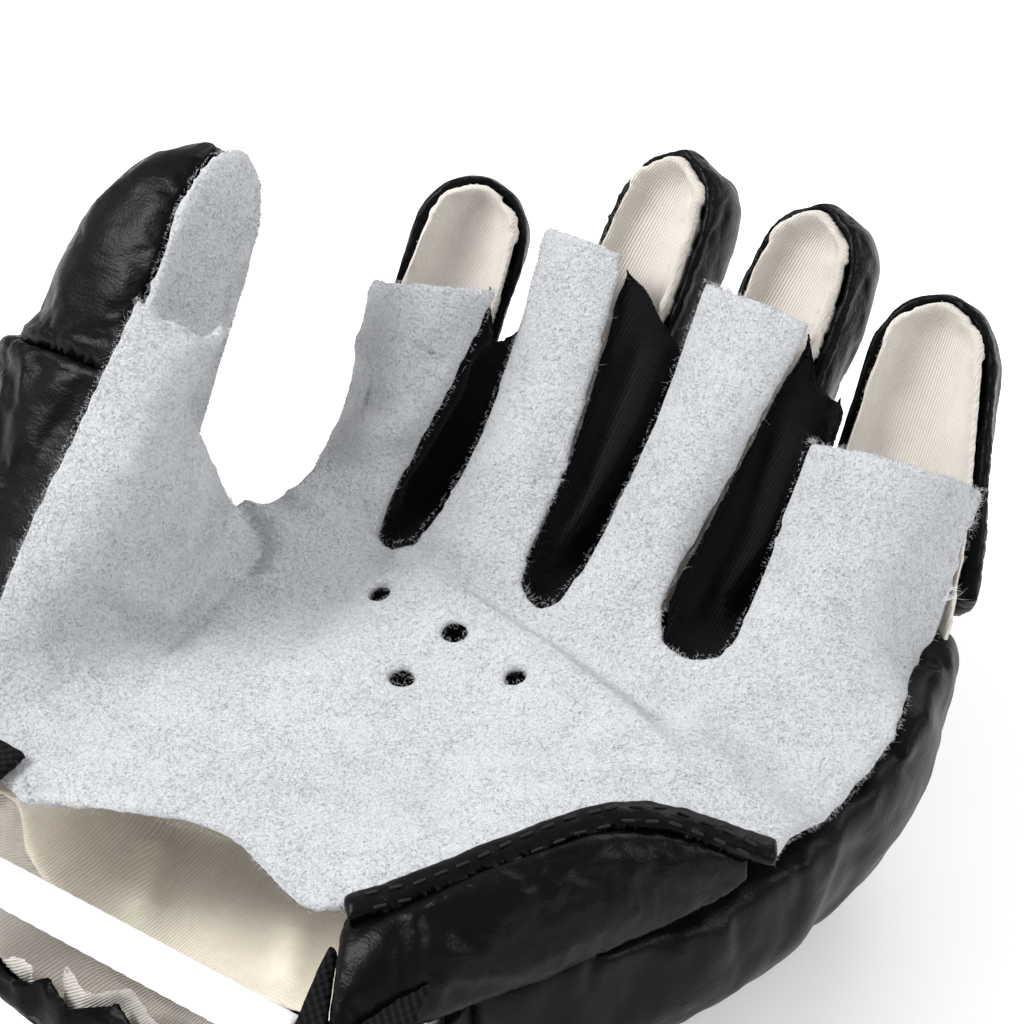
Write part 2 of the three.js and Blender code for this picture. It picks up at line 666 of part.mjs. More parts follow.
function thumbTip() {
  const rows = steps(9);
  const skin = (inset, level) => rows.map((v) => {
    const tip = THUMB_REACH - inset;
    const at = lerp(THUMB_REACH * 0.6, tip, 1 - (1 - v) ** 1.3);
    const frame = thumbPath(at);
    const left = clamp((tip - at) / (THUMB_WIDTH * 0.62), 0, 1);
    const taper = Math.sqrt(Math.max(1 - (1 - left) ** 2, 0.02));
    return steps(8).map((u) => {
      const side = u * 2 - 1;
      const crown = THUMB_DEPTH * 0.2 * (1 - side * side) * taper;
      return offset(frame, (THUMB_WIDTH / 2 - inset) * side * taper, crown + level);
    });
  });
  return between(skin(0, 0), skin(0.2, -SUEDE));
}

// The heel pad, a stuffed leather roll across the wrist end of the palm, and its stitched welt

function heelEdge(t, out = 0) {
  const at = lerp(0.5, 1, t);
  const edge = through(WRIST_EDGE);
  const point = edge(at);
  const run = edge(Math.min(at + 0.02, 1)).sub(edge(at - 0.02)).setZ(0).normalize();
  return point.add(vec(run.y, -run.x, 0).multiplyScalar(out));
}

function heelPad() {
  const fold = through(HEEL_FOLD);
  const rows = steps(14);
  const skin = (high) => rows.map((t) => {
    const near = heelEdge(t, GAP * 2).add(vec(0, 0, -GAP));
    const far = fold(t);
    const full = Math.sin(Math.PI * clamp(t * 0.94 + 0.06, 0, 1)) ** 0.5;
    return steps(8).map((v) => {
      const swell = Math.sin(Math.PI * v) ** 0.8 * full;
      const rise = high ? HEEL_SWELL * swell : -1.5 - HEEL_SWELL * 0.8 * swell;
      return mix(near, far, v).add(vec(0, 0, rise));
    });
  });
  return between(skin(true), skin(false));
}

function heelWelt() {
  const rows = steps(14);
  const skin = (top) => rows.map((t) => steps(3).map((v) => {
    const start = lerp(0.05, -0.4, smoothstep(t, 0, 0.45));
    const point = heelEdge(t, (start + v) * WELT_WIDTH);
    const round = 0.8 * Math.sin(Math.PI * v);
    return point.add(vec(0, 0, top ? GAP + SUEDE + round : GAP));
  }));
  return between(skin(true), skin(false));
}

// The wrist: gathered leather cuff with its lining turned over the edge, tape and webbing

const CUFF_COLUMNS = 40;
const GATHERS = 20; // folds of the gathered edge, counted in half waves

// The cuff runs out along the surface that the glove lies on, then stands up, while its sides only run
// out: shares of its reach and rise
const CUFF = [
  { at: 0, out: 0, up: 0, sides: 0 },
  { at: 0.4, out: 0.95, up: 0.02, sides: 0.6 },
  { at: 0.6, out: 1.05, up: 0.24, sides: 0.75 },
  { at: 1, out: 0.86, up: 1, sides: 1.02 },
];

// A row of the cuff: v runs from the padding's end to the cuff's gathered edge
function cuffRow(v, inset) {
  const read = (key) => column(CUFF, key, v);
  return steps(CUFF_COLUMNS).map((u) => {
    const angle = Math.PI * (u - 0.5);
    const point = trayPoint(0, angle, inset + 2, 2 + inset);
    const calm = 1 - smoothstep(Math.abs(Math.sin(angle)), 0.5, 0.84);
    const gather = Math.sin(u * Math.PI * GATHERS) * GATHER_DEPTH * read('up') * calm;
    const sides = Math.abs(Math.sin(angle)) ** 3;
    const forward = (1 - sides) * smoothstep(v, 0.2, 0.4);
    const level = (1 - sides) * smoothstep(v, 0.4, 0.9);
    const out = CUFF_REACH * lerp(read('out'), read('sides'), sides);
    point.y = -PALM_LENGTH * 0.905 - out + inset * forward + gather;
    point.z += (1 - sides) * (CUFF_RISE * read('up') + gather * 0.4) - inset * level;
    return point;
  });
}

const cuff = () => between(
  rested(steps(5).map((v) => cuffRow(v, 0))),
  rested(steps(5).map((v) => cuffRow(v, CUFF_WALL))),
);

// The lining covers the end of the padding, runs down the cuff and stands over its edge
function cuffLiningSkin(depth) {
  const inside = CUFF_WALL + GAP * 2.6 + depth;
  const facing = [1, 0.25].map((share) => steps(CUFF_COLUMNS).map((u) => {
    const inset = lerp(inside + 2, HAND_PADDING * 0.62, share);
    const level = lerp(inside + 2, HAND_PADDING, share);
    const point = trayPoint(0, Math.PI * (u - 0.5), inset, level);
    return point.setY(-PALM_LENGTH * 0.9 - GAP - depth);
  }));
  const down = [0.4, 0.6, 0.8, 1].map((v) => cuffRow(v, inside));
  const edge = cuffRow(1, inside).map((point) => point.add(vec(0, 0, 1.4)));
  return [...facing, ...down, edge];
}

const cuffLining = () => between(rested(cuffLiningSkin(0)), rested(cuffLiningSkin(LINING)));

// A flat strap along a line of places, wide along the given direction
function strap(rows, width, thickness) {
  const middle = through(rows);
  const grid = steps(10).map((t) => {
    const run = middle(Math.min(t + 0.05, 1)).sub(middle(Math.max(t - 0.05, 0))).normalize();
    const across = run.clone().cross(vec(0, 0, 1)).normalize();
    return steps(2).map((v) => middle(t).addScaledVector(across, width * (v - 0.5)));
  });
  return clothGrid(grid, thickness);
}

// Carving keeps pieces apart: a piece gives way to its neighbours, swollen by the gap

function swollen(geometry, by = GAP * 0.55) {
  const points = [];
  const { array } = geometry.attributes.position;
  for (let i = 0; i < array.length; i += 3) {
    points.push(vec(array[i], array[i + 1], array[i + 2]));
  }
  const faces = [];
  const index = geometry.index.array;
  for (let i = 0; i < index.length; i += 3) {
    faces.push([index[i], index[i + 1], index[i + 2]]);
  }
  const normals = facings(points, faces);
  return solid(points.map((point, i) => point.addScaledVector(normals[i], by)), faces);
}

function carve(geometry, ...neighbours) {
  let shape = manifold(geometry);
  for (const neighbour of neighbours) {
    shape = shape.subtract(manifold(swollen(neighbour))).subtract(manifold(neighbour));
  }
  const bodies = shape.decompose();
  bodies.sort((a, b) => b.volume() - a.volume());
  return fromManifold(bodies[0].simplify(0.01));
}

const group = new THREE.Group();

function piece(name, geometry, colour, roughness = 0.8) {
  const material = new THREE.MeshStandardMaterial({ color: colour, roughness, metalness: 0 });
  const mesh = new THREE.Mesh(geometry, material);
  mesh.name = name;
  group.add(mesh);
}

const COLOURS = { suede: '#c3c9cf', leather: '#131314', twill: '#e3dccd', knit: '#161618', tape: '#f4f4f4' };

const suede = palm();
const hoods = [];
for (const finger of FINGERS) {
  hoods.push(carve(hood(finger), suede, ...hoods.slice(-1)));
}
const linings = FINGERS.map((finger, i) => carve(fingerLining(finger), suede, hoods[i]));
const gussets = FINGERS.slice(1).map((finger, i) => carve(
  gusset(FINGERS[i], finger),
  suede, hoods[i], hoods[i + 1], linings[i], linings[i + 1],
));
const back = carve(handBack(), suede, ...hoods, ...linings);
const lining = carve(handLining(), suede, back, ...hoods, ...linings, ...gussets);
const thumbLower = carve(
  thumbBack(THUMB_REACH * 0.2, THUMB_REACH * THUMB_SPLIT, THUMB_REACH * 2),
  suede, back, lining,
);
const thumbUpper = carve(
  thumbBack(THUMB_REACH * (THUMB_SPLIT + 0.005), THUMB_REACH, THUMB_REACH),
  suede, thumbLower,
);
const thumbFront = carve(thumbTip(), suede, thumbUpper, thumbLower);
const welt = carve(heelWelt(), suede);
const heel = carve(heelPad(), suede, welt, back, lining);
const cuffWall = carve(cuff(), suede, back, lining, heel, welt, thumbLower);
const cuffInside = carve(cuffLining(), suede, back, lining, cuffWall, heel, welt);
const strapLittle = carve(
  strap(WEBBING_LITTLE, WEBBING_WIDTH, WEBBING_THICKNESS),
  suede, heel, welt, cuffWall, cuffInside, back,
);
const strapThumb = carve(
  strap(WEBBING_THUMB, WEBBING_WIDTH * 0.8, WEBBING_THICKNESS),
  suede, cuffWall, cuffInside, back, thumbLower,
);
const tape = carve(
  strap(TAPE, TAPE_WIDTH, TAPE_THICKNESS),
  suede, strapLittle, strapThumb, cuffWall, cuffInside,
);

piece('palm_suede', suede, COLOURS.suede, 0.95);
for (const [i, { name }] of FINGERS.entries()) {
  piece(`${name}_back`, hoods[i], COLOURS.leather, 0.5);
  piece(`${name}_lining`, linings[i], COLOURS.twill, 0.9);
}
piece('gusset_index_middle', gussets[0], COLOURS.knit, 1);
piece('gusset_middle_ring', gussets[1], COLOURS.knit, 1);
piece('gusset_ring_little', gussets[2], COLOURS.knit, 1);
piece('hand_back', back, COLOURS.leather, 0.5);
piece('hand_lining', lining, COLOURS.twill, 0.9);
piece('thumb_back_lower', thumbLower, COLOURS.leather, 0.5);
piece('thumb_back_upper', thumbUpper, COLOURS.leather, 0.5);
piece('thumb_tip_suede', thumbFront, COLOURS.suede, 0.95);
piece('heel_pad', heel, COLOURS.leather, 0.5);
piece('heel_welt', welt, COLOURS.leather, 0.5);
piece('cuff', cuffWall, COLOURS.leather, 0.5);
piece('cuff_lining', cuffInside, COLOURS.twill, 0.9);
piece('wrist_tape', tape, COLOURS.tape, 0.9);
piece('webbing_little_side', strapLittle, COLOURS.knit, 1);
piece('webbing_thumb_side', strapThumb, COLOURS.knit, 1);

// The origin goes under the middle of the finished glove
const box = new THREE.Box3().setFromObject(group);
const middle = box.getCenter(new THREE.Vector3());
for (const mesh of group.children) {
  mesh.geometry.translate(-middle.x, -middle.y, -box.min.z);
}

export default group;
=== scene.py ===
# %% [markdown]
# # A padded martial arts glove
# The glove lies on its back with the palm up and the fingers curled. Pale suede covers the palm and
# the fronts of the fingers, black leather over foam makes the back, and cream twill lines it. The
# measured solids are loaded first, because every soft piece takes its place from one of them.

# %% Load the measured solids
import math

import bmesh
import bpy
import numpy as np
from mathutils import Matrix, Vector, noise
from mathutils.bvhtree import BVHTree
from mathutils.kdtree import KDTree


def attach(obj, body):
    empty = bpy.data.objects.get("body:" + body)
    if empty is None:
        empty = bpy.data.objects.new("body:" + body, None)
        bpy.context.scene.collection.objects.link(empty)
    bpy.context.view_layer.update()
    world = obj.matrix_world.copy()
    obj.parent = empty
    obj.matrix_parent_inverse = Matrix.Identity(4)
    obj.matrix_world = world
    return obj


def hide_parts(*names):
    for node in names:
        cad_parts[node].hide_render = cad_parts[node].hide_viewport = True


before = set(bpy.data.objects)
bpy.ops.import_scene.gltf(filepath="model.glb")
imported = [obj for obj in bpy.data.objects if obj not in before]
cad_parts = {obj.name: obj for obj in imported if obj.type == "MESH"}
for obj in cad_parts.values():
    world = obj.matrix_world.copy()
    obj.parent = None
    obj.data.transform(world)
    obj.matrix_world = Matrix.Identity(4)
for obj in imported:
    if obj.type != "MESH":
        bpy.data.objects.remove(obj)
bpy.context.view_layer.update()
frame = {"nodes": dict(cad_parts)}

MM = 0.001
scene = bpy.context.scene
bpy.ops.object.select_all(action="DESELECT")

# %% [markdown]
# ## Camera and light
# A long lens from in front and above shows the palm as it is held out. The light is a studio's: a
# white surround, one large soft lamp at the front left, and a weaker one at the right that puts
# highlights on the leather.

# %% Camera
PICTURE_SIDE = 1024
LENS, SENSOR = 113, 36
SIGHT = Vector((-1.1, 34.4, 45.0)) * MM
TURN, HEIGHT, DISTANCE = math.radians(27), math.radians(38), 550 * MM
away = Vector((
    math.sin(TURN) * math.cos(HEIGHT),
    -math.cos(TURN) * math.cos(HEIGHT),
    math.sin(HEIGHT),
))
bpy.ops.object.camera_add(location=SIGHT + away * DISTANCE)
camera = bpy.context.object
camera.name = "camera"
camera.rotation_euler = away.to_track_quat("Z", "Y").to_euler()
camera.data.sensor_width = SENSOR
camera.data.lens = LENS
camera.data.clip_start, camera.data.clip_end = 0.01, 20
scene.camera = camera


def sight_line(x, y):
    """The way the camera looks through a spot of the picture, in pixels from its top left."""
    right = Vector((math.cos(TURN), math.sin(TURN), 0))
    middle = PICTURE_SIDE / 2
    reach = LENS / SENSOR * PICTURE_SIDE
    return (right * (x - middle) + away.cross(right) * (middle - y) - away * reach).normalized()


print("the camera looks down at", round(math.degrees(HEIGHT)), "degrees")


# %% Lamps
LAMPS = {
    "lamp_front_left": dict(place=(-0.75, -0.45, 0.95), size=0.5, power=17),
    "lamp_right": dict(place=(0.95, 0.1, 0.7), size=0.5, power=4.5),
    "lamp_back": dict(place=(-0.1, 1.0, 0.8), size=0.7, power=5),
}
SURROUND = 0.54


def soft_lamp(name, place, size, power):
    """A square lamp at a place, turned to the glove."""
    bpy.ops.object.light_add(type="AREA", location=place)
    lamp = bpy.context.object
    lamp.name = name
    lamp.data.size = size
    lamp.data.energy = power
    lamp.rotation_euler = (Vector(place) - SIGHT).to_track_quat("Z", "Y").to_euler()


for name, lamp in LAMPS.items():
    soft_lamp(name, **lamp)
world = bpy.data.worlds.new("white_surround")
world.use_nodes = True
background = world.node_tree.nodes["Background"]
background.inputs["Color"].default_value = (1, 1, 1, 1)
background.inputs["Strength"].default_value = SURROUND
scene.world = world
scene.view_settings.view_transform = "Standard"
print("lamps:", ", ".join(LAMPS))


# %% [markdown]
# ## Finishes
# Each finish is made from nodes that read the place on the object, so no picture is needed. A large
# noise varies the colour, and small noises raise the surface: nap on suede, pores on leather, ribs
# on cloth. Scales are given as the size of a feature in millimetres.

# %% Node helpers
def finish(name, rough, **sockets):
    """A material with one shader, whose other sockets are named by their words."""
    material = bpy.data.materials.new(name)
    material.use_nodes = True
    tree = material.node_tree
    shader = tree.nodes["Principled BSDF"]
    shader.inputs["Roughness"].default_value = rough
    for socket, value in sockets.items():
        shader.inputs[socket.replace("_", " ").title().replace("Ior", "IOR")].default_value = value
    return material


def plain(material, colour, glow=0.0):
    """One colour all over, with a little light of its own where glow says so."""
    shader = material.node_tree.nodes["Principled BSDF"]
    shader.inputs["Base Color"].default_value = (*colour, 1)
    if glow:
        shader.inputs["Emission Color"].default_value = (1, 1, 1, 1)
        shader.inputs["Emission Strength"].default_value = glow


def place_on(material, turn=(0, 0, 0), stretch=(1, 1, 1)):
    """The place on the object, turned and stretched."""
    tree = material.node_tree
    place = tree.nodes.new("ShaderNodeTexCoord")
    mapping = tree.nodes.new("ShaderNodeMapping")
    mapping.inputs["Rotation"].default_value = [math.radians(a) for a in turn]
    mapping.inputs["Scale"].default_value = stretch
    tree.links.new(place.outputs["Object"], mapping.inputs["Vector"])
    return mapping.outputs["Vector"]


def grain(material, place, size, detail=4, rough=0.6):
    """A cloudy pattern whose lumps are about size millimetres."""
    tree = material.node_tree
    clouds = tree.nodes.new("ShaderNodeTexNoise")
    clouds.inputs["Scale"].default_value = 1 / (size * MM)
    clouds.inputs["Detail"].default_value = detail
    clouds.inputs["Roughness"].default_value = rough
    tree.links.new(place, clouds.inputs["Vector"])
    return clouds.outputs["Fac"]


def cells(material, place, size):
    """The distance to the edges of cells about size millimetres across."""
    tree = material.node_tree
    net = tree.nodes.new("ShaderNodeTexVoronoi")
    net.feature = "DISTANCE_TO_EDGE"
    net.inputs["Scale"].default_value = 1 / (size * MM)
    tree.links.new(place, net.inputs["Vector"])
    return net.outputs["Distance"]


def ribs(material, place, size):
    """Straight bands size millimetres apart."""
    tree = material.node_tree
    bands = tree.nodes.new("ShaderNodeTexWave")
    bands.wave_type = "BANDS"
    bands.inputs["Scale"].default_value = math.pi / (10 * size * MM)
    tree.links.new(place, bands.inputs["Vector"])
    return bands.outputs["Fac"]


def sum_of(material, first, second, share=0.5):
    """The sum of two patterns, the second weighed by share."""
    tree = material.node_tree
    weigh = tree.nodes.new("ShaderNodeMath")
    weigh.operation = "MULTIPLY"
    weigh.inputs[1].default_value = share
    join = tree.nodes.new("ShaderNodeMath")
    tree.links.new(second, weigh.inputs[0])
    tree.links.new(first, join.inputs[0])
    tree.links.new(weigh.outputs[0], join.inputs[1])
    return join.outputs[0]


def colours(material, pattern, *stops):
    """Colours the shader by a pattern: each stop is a position and a colour."""
    tree = material.node_tree
    ramp = tree.nodes.new("ShaderNodeValToRGB")
    ramp.color_ramp.elements.remove(ramp.color_ramp.elements[1])
    for i, (at, colour) in enumerate(stops):
        stop = ramp.color_ramp.elements[0] if i == 0 else ramp.color_ramp.elements.new(at)
        stop.position = at
        stop.color = (*colour, 1)
    tree.links.new(pattern, ramp.inputs["Fac"])
    tree.links.new(ramp.outputs["Color"], tree.nodes["Principled BSDF"].inputs["Base Color"])


def raised(material, *patterns):
    """Raises the surface: each pattern has a height in millimetres and a strength."""
    tree = material.node_tree
    below = None
    for pattern, height, strength in patterns:
        bump = tree.nodes.new("ShaderNodeBump")
        bump.inputs["Distance"].default_value = height * MM
        bump.inputs["Strength"].default_value = strength
        tree.links.new(pattern, bump.inputs["Height"])
        if below:
            tree.links.new(below, bump.inputs["Normal"])
        below = bump.outputs["Normal"]
    tree.links.new(below, tree.nodes["Principled BSDF"].inputs["Normal"])


print("the node helpers take sizes in millimetres of", MM, "m")


# %% [markdown]
# Suede is split leather: short fibres stand up in clumps of about a millimetre, with finer nap
# between them. It has no shine, only the pale bloom that light gives to fibres seen edge on, and
# each clump has a lit side and a darker foot. A hair system would give that nap too, but it is slow.
# So the finish carries the clumps as bumps, and a later step adds some real fibres on the side that
# is seen.

# %% Suede
suede = finish("suede_pale", 0.95, specular_ior_level=0.12, sheen_weight=0.2, sheen_roughness=0.6)
spot = place_on(suede)
nap = grain(suede, spot, 0.45, 4, 0.65)
clumps = grain(suede, spot, 1.1, 3, 0.6)
flecks = sum_of(suede, nap, grain(suede, spot, 22, 2), 0.22)
colours(suede, flecks,
        (0.44, (0.49, 0.51, 0.535)),
        (0.58, (0.655, 0.67, 0.695)),
        (0.8, (0.74, 0.75, 0.765)))
raised(suede, (clumps, 0.9, 1.0), (nap, 0.6, 1.0))
print(suede.name, "has", len(suede.node_tree.nodes), "nodes")

# %% [markdown]
# The leather is black with a soft satin shine. Its grain is a net of shallow pores, drawn out by
# fine wrinkles. Cells give the net, a stretched noise gives the wrinkles, and a large cloud varies
# the black. Net and wrinkles are only bumps, far too shallow to change the outline.

# %% Leather
leather = finish("leather_black", 0.36, specular_ior_level=0.11)
spot = place_on(leather)
pores = cells(leather, spot, 0.8)
grease = grain(leather, spot, 9, 4)
wrinkles = grain(leather, place_on(leather, turn=(0, 0, 20), stretch=(0.35, 1, 1)), 1.5, 4, 0.6)
colours(leather, grease, (0.3, (0.0009, 0.0009, 0.0011)), (0.8, (0.0022, 0.0022, 0.0025)))
raised(leather, (wrinkles, 0.28, 0.45), (pores, 0.1, 0.5), (grain(leather, spot, 0.35, 2), 0.05, 0.5))
print(leather.name, "has", len(leather.node_tree.nodes), "nodes")

# %% [markdown]
# Twill shows fine ridges that lean a little, with slubs where the yarn is thicker. Object coordinates
# would cut through a curved cloth and stretch its threads. So the ridges are drawn on each piece's
# own flat layout, in metres, and run along the finger as they do on cloth cut on its straight grain.

# %% Twill
def on_cloth(material, turn=0.0):
    """The place on a piece's flat layout, turned by some degrees."""
    tree = material.node_tree
    layout = tree.nodes.new("ShaderNodeUVMap")
    layout.uv_map = "cut"
    mapping = tree.nodes.new("ShaderNodeMapping")
    mapping.inputs["Rotation"].default_value[2] = math.radians(turn)
    tree.links.new(layout.outputs["UV"], mapping.inputs["Vector"])
    return mapping.outputs["Vector"]


twill = finish("twill_cream", 0.9, specular_ior_level=0.15, sheen_weight=0.1)
wales = ribs(twill, on_cloth(twill, 6), 0.4)
picks = ribs(twill, on_cloth(twill, 40), 0.33)
slubs = grain(twill, place_on(twill), 2.2, 6, 0.7)
yarn = sum_of(twill, sum_of(twill, wales, picks, 0.15), slubs, 0.9)
colours(twill, yarn,
        (0.35, (0.52, 0.47, 0.41)),
        (0.8, (0.645, 0.605, 0.55)),
        (1.0, (0.69, 0.655, 0.605)))
raised(twill, (wales, 0.1, 0.8), (picks, 0.03, 0.4))
print(twill.name, "has", len(twill.node_tree.nodes), "nodes")

# %% [markdown]
# The hand's own lining is the same twill, made lighter and warmer, and further in it is painted dark as
# shade, for the inside of the glove lies in shadow where the punched holes look into it. A second piece
# for that shade would need a seam that no one sees, so one finish turns dark by its distance from the
# wrist.

# %% Twill of the hand
# Painted shade: between these depths the lining turns to this near black, which stands for the shadow
# inside the glove.
PAINTED_SHADE_FROM, PAINTED_SHADE_TO = -12 * MM, -6 * MM
PAINTED_SHADE = (0.004, 0.004, 0.0045, 1)
WARMER = (1.5, 1.38, 1.26)
PALEST = 0.95
hand_twill = twill.copy()
hand_twill.name = "twill_hand"
tree = hand_twill.node_tree
parts = tree.nodes.new("ShaderNodeSeparateXYZ")
tree.links.new(tree.nodes.new("ShaderNodeTexCoord").outputs["Object"], parts.inputs[0])
depth = tree.nodes.new("ShaderNodeMapRange")
depth.inputs["From Min"].default_value = PAINTED_SHADE_FROM
depth.inputs["From Max"].default_value = PAINTED_SHADE_TO
tree.links.new(parts.outputs["Y"], depth.inputs["Value"])
# Painted shade: this mix darkens the twill's colour further in from the wrist.
shade = tree.nodes.new("ShaderNodeMix")
shade.data_type = "RGBA"
shade.inputs[7].default_value = PAINTED_SHADE
for node in tree.nodes:
    if node.type == "VALTORGB":
        for stop in node.color_ramp.elements:
            stop.color = [min(PALEST, part * lift) for part, lift in zip(stop.color, WARMER)] + [1]
tree.links.new(depth.outputs["Result"], shade.inputs[0])
base = tree.nodes["Principled BSDF"].inputs["Base Color"]
tree.links.new(base.links[0].from_socket, shade.inputs[6])
tree.links.new(shade.outputs[2], base)
print(hand_twill.name, "turns dark over", round((PAINTED_SHADE_TO - PAINTED_SHADE_FROM) / MM), "mm")

# %% [markdown]
# Knit has columns of loops with a little fluff on them. Tape and webbing are woven across their
# length, the webbing in two slants. All three are too fine to model thread by thread, so their
# ridges are bumps on the flat layout.

# %% Knit, tape and webbing
knit = finish("knit_black", 0.95, specular_ior_level=0.06, sheen_weight=0.05)
loops = ribs(knit, on_cloth(knit, 4), 0.55)
rows = ribs(knit, on_cloth(knit, 94), 0.7)
fluff = grain(knit, place_on(knit), 0.6, 4, 0.7)
yarn = sum_of(knit, loops, fluff, 0.8)
colours(knit, yarn, (0.3, (0.0018, 0.0018, 0.0022)), (0.95, (0.0075, 0.0075, 0.0092)))
raised(knit, (loops, 0.14, 0.6), (rows, 0.08, 0.5), (fluff, 0.12, 0.4))

tape_white = finish("tape_white", 0.85, specular_ior_level=0.15, sheen_weight=0.1)
picks = ribs(tape_white, on_cloth(tape_white, 90), 0.55)
colours(tape_white, picks, (0.1, (0.69, 0.69, 0.695)), (0.9, (0.76, 0.76, 0.765)))
raised(tape_white, (picks, 0.05, 0.3), (ribs(tape_white, on_cloth(tape_white, 0), 0.45), 0.04, 0.3))

webbing = finish("webbing_black", 0.85, specular_ior_level=0.12)
over = ribs(webbing, on_cloth(webbing, 45), 1.1)
under = ribs(webbing, on_cloth(webbing, -45), 1.1)
colours(webbing, over, (0.1, (0.0025, 0.0025, 0.003)), (0.9, (0.009, 0.009, 0.0105)))
raised(webbing, (over, 0.25, 0.7), (under, 0.25, 0.7))

thread_black = finish("thread_black", 0.6, specular_ior_level=0.3)
plain(thread_black, (0.006, 0.006, 0.007))
thread_white = finish("thread_white", 0.8, specular_ior_level=0.2, sheen_weight=0.2)
plain(thread_white, (0.82, 0.83, 0.85))

FINISH_OF = {
    "suede": suede,
    "leather": leather,
    "twill": twill,
    "hand": hand_twill,
    "knit": knit,
    "tape": tape_white,
    "webbing": webbing,
    "thread": thread_black,
    "fray": thread_white,
}
print("finishes:", ", ".join(FINISH_OF))


# %% [markdown]
# ## From solid to soft piece
# A sewn piece starts as a copy of its solid. The copy is merged, covered with an even net of small
# faces, and smoothed inside its rims, so its flats become folds while its edges stay in place.
# Subdivision would keep the solid's long thin faces and dent along them. An even net has none, and
# gives cloth and wrinkles enough points to move.

# %% Points and modifiers
def only(piece):
    """Selects one piece and nothing else."""
    bpy.ops.object.select_all(action="DESELECT")
    piece.select_set(True)
    bpy.context.view_layer.objects.active = piece


def shape_by(piece, kind, **settings):
    """Adds a modifier and applies it at once."""
    only(piece)
    bpy.ops.object.modifier_add(type=kind)
    modifier = piece.modifiers[-1]
    for key, value in settings.items():
        setattr(modifier, key, value)
    bpy.ops.object.modifier_apply(modifier=modifier.name)


def points_of(piece):
    """The places of a piece's points, a row for each."""
    spots = np.zeros(len(piece.data.vertices) * 3)
    piece.data.vertices.foreach_get("co", spots)
    return spots.reshape(-1, 3)


def set_points(piece, spots):
    """Puts a piece's points where the rows say."""
    piece.data.vertices.foreach_set("co", np.asarray(spots).ravel())
    piece.data.update()


def directions_of(piece):
    """The way each point faces."""
    ways = np.zeros(len(piece.data.vertices) * 3)
    piece.data.vertex_normals.foreach_get("vector", ways)
    return ways.reshape(-1, 3)


print("solids to dress:", ", ".join(frame["nodes"]))


# %% Rims
MARK_GAP = 0.5


def rims_of(piece, sharp=50):
    """Marks along the sharp edges of a merged copy, each with the way its narrow face looks."""
    net = bmesh.new()
    net.from_mesh(piece.data)
    marks = []
    for edge in net.edges:
        if len(edge.link_faces) == 2 and edge.calc_face_angle(0) > math.radians(sharp):
            a, b = (v.co for v in edge.verts)
            narrow = min(edge.link_faces, key=lambda face: face.calc_area())
            count = max(1, int((b - a).length / (MARK_GAP * MM)))
            for i in range(count):
                marks.append((a.lerp(b, (i + 0.5) / count), narrow.normal.copy(), (b - a).normalized()))
    net.free()
    return marks


def tree_of(places):
    """A tree that finds the nearest of some places."""
    tree = KDTree(len(places))
    for i, place in enumerate(places):
        tree.insert(place, i)
    tree.balance()
    return tree


def skin_of(piece):
    """A tree that finds the nearest spot on a piece's faces."""
    corners = [v.co for v in piece.data.vertices]
    return BVHTree.FromPolygons(corners, [p.vertices for p in piece.data.polygons])


def nearness(marks, spots, reach):
    """1 on a mark, falling to 0 at a distance of reach."""
    tree = tree_of([mark[0] for mark in marks])
    far = np.array([tree.find(spot)[2] for spot in spots])
    return np.clip(1 - far / reach, 0, 1)


print("rims are marked every", MARK_GAP, "mm")

# %% [markdown]
# A flat layout tells the weave which way the cloth was cut. Unwrapping by hand needs seams to be
# chosen. A finger is close to a half tube, so here its cloth is simply rolled out round a line in
# front of it, which keeps lengths true.

# %% Cloth layout
FLAT = 1000


def cut_layout(piece, middle=None, along=None, radius=None):
    """Lays the cloth out flat in metres: round a line in front of the piece, and along it."""
    spots = points_of(piece)
    middle = spots.mean(axis=0) if middle is None else np.array(middle) * MM
    if along is None:
        along = np.linalg.svd(spots - middle, full_matrices=False)[2][0]
    along = np.array(along, float) * (1 if along[1] > 0 else -1)
    front = np.array(away) - along * (np.array(away) @ along)
    front /= np.linalg.norm(front)
    across = np.cross(along, front)
    radius = (radius or FLAT) * MM
    off = spots - middle - front * radius
    turn = np.arctan2(off @ across, -(off @ front))
    flat = np.stack([turn * radius, off @ along], axis=1)
    layer = piece.data.uv_layers.new(name="cut")
    corners = np.zeros(len(piece.data.loops), dtype=int)
    piece.data.loops.foreach_get("vertex_index", corners)
    layer.data.foreach_set("uv", flat[corners].ravel())


print("a piece with no radius is laid out as flat, round", FLAT, "mm")

# %% [markdown]
# The solids have few corners on their rims, but cut cloth and leather run in smooth curves. Plain
# smoothing would shrink a thin piece, so the rims are moved by what their own neighbours say: every
# mark goes to the middle of the marks beside it, and the points near it follow.

# %% Round rims
EDGE_SLOPE, EDGE_WIDTH = 0.6, 0.15
FOLLOWED = 4


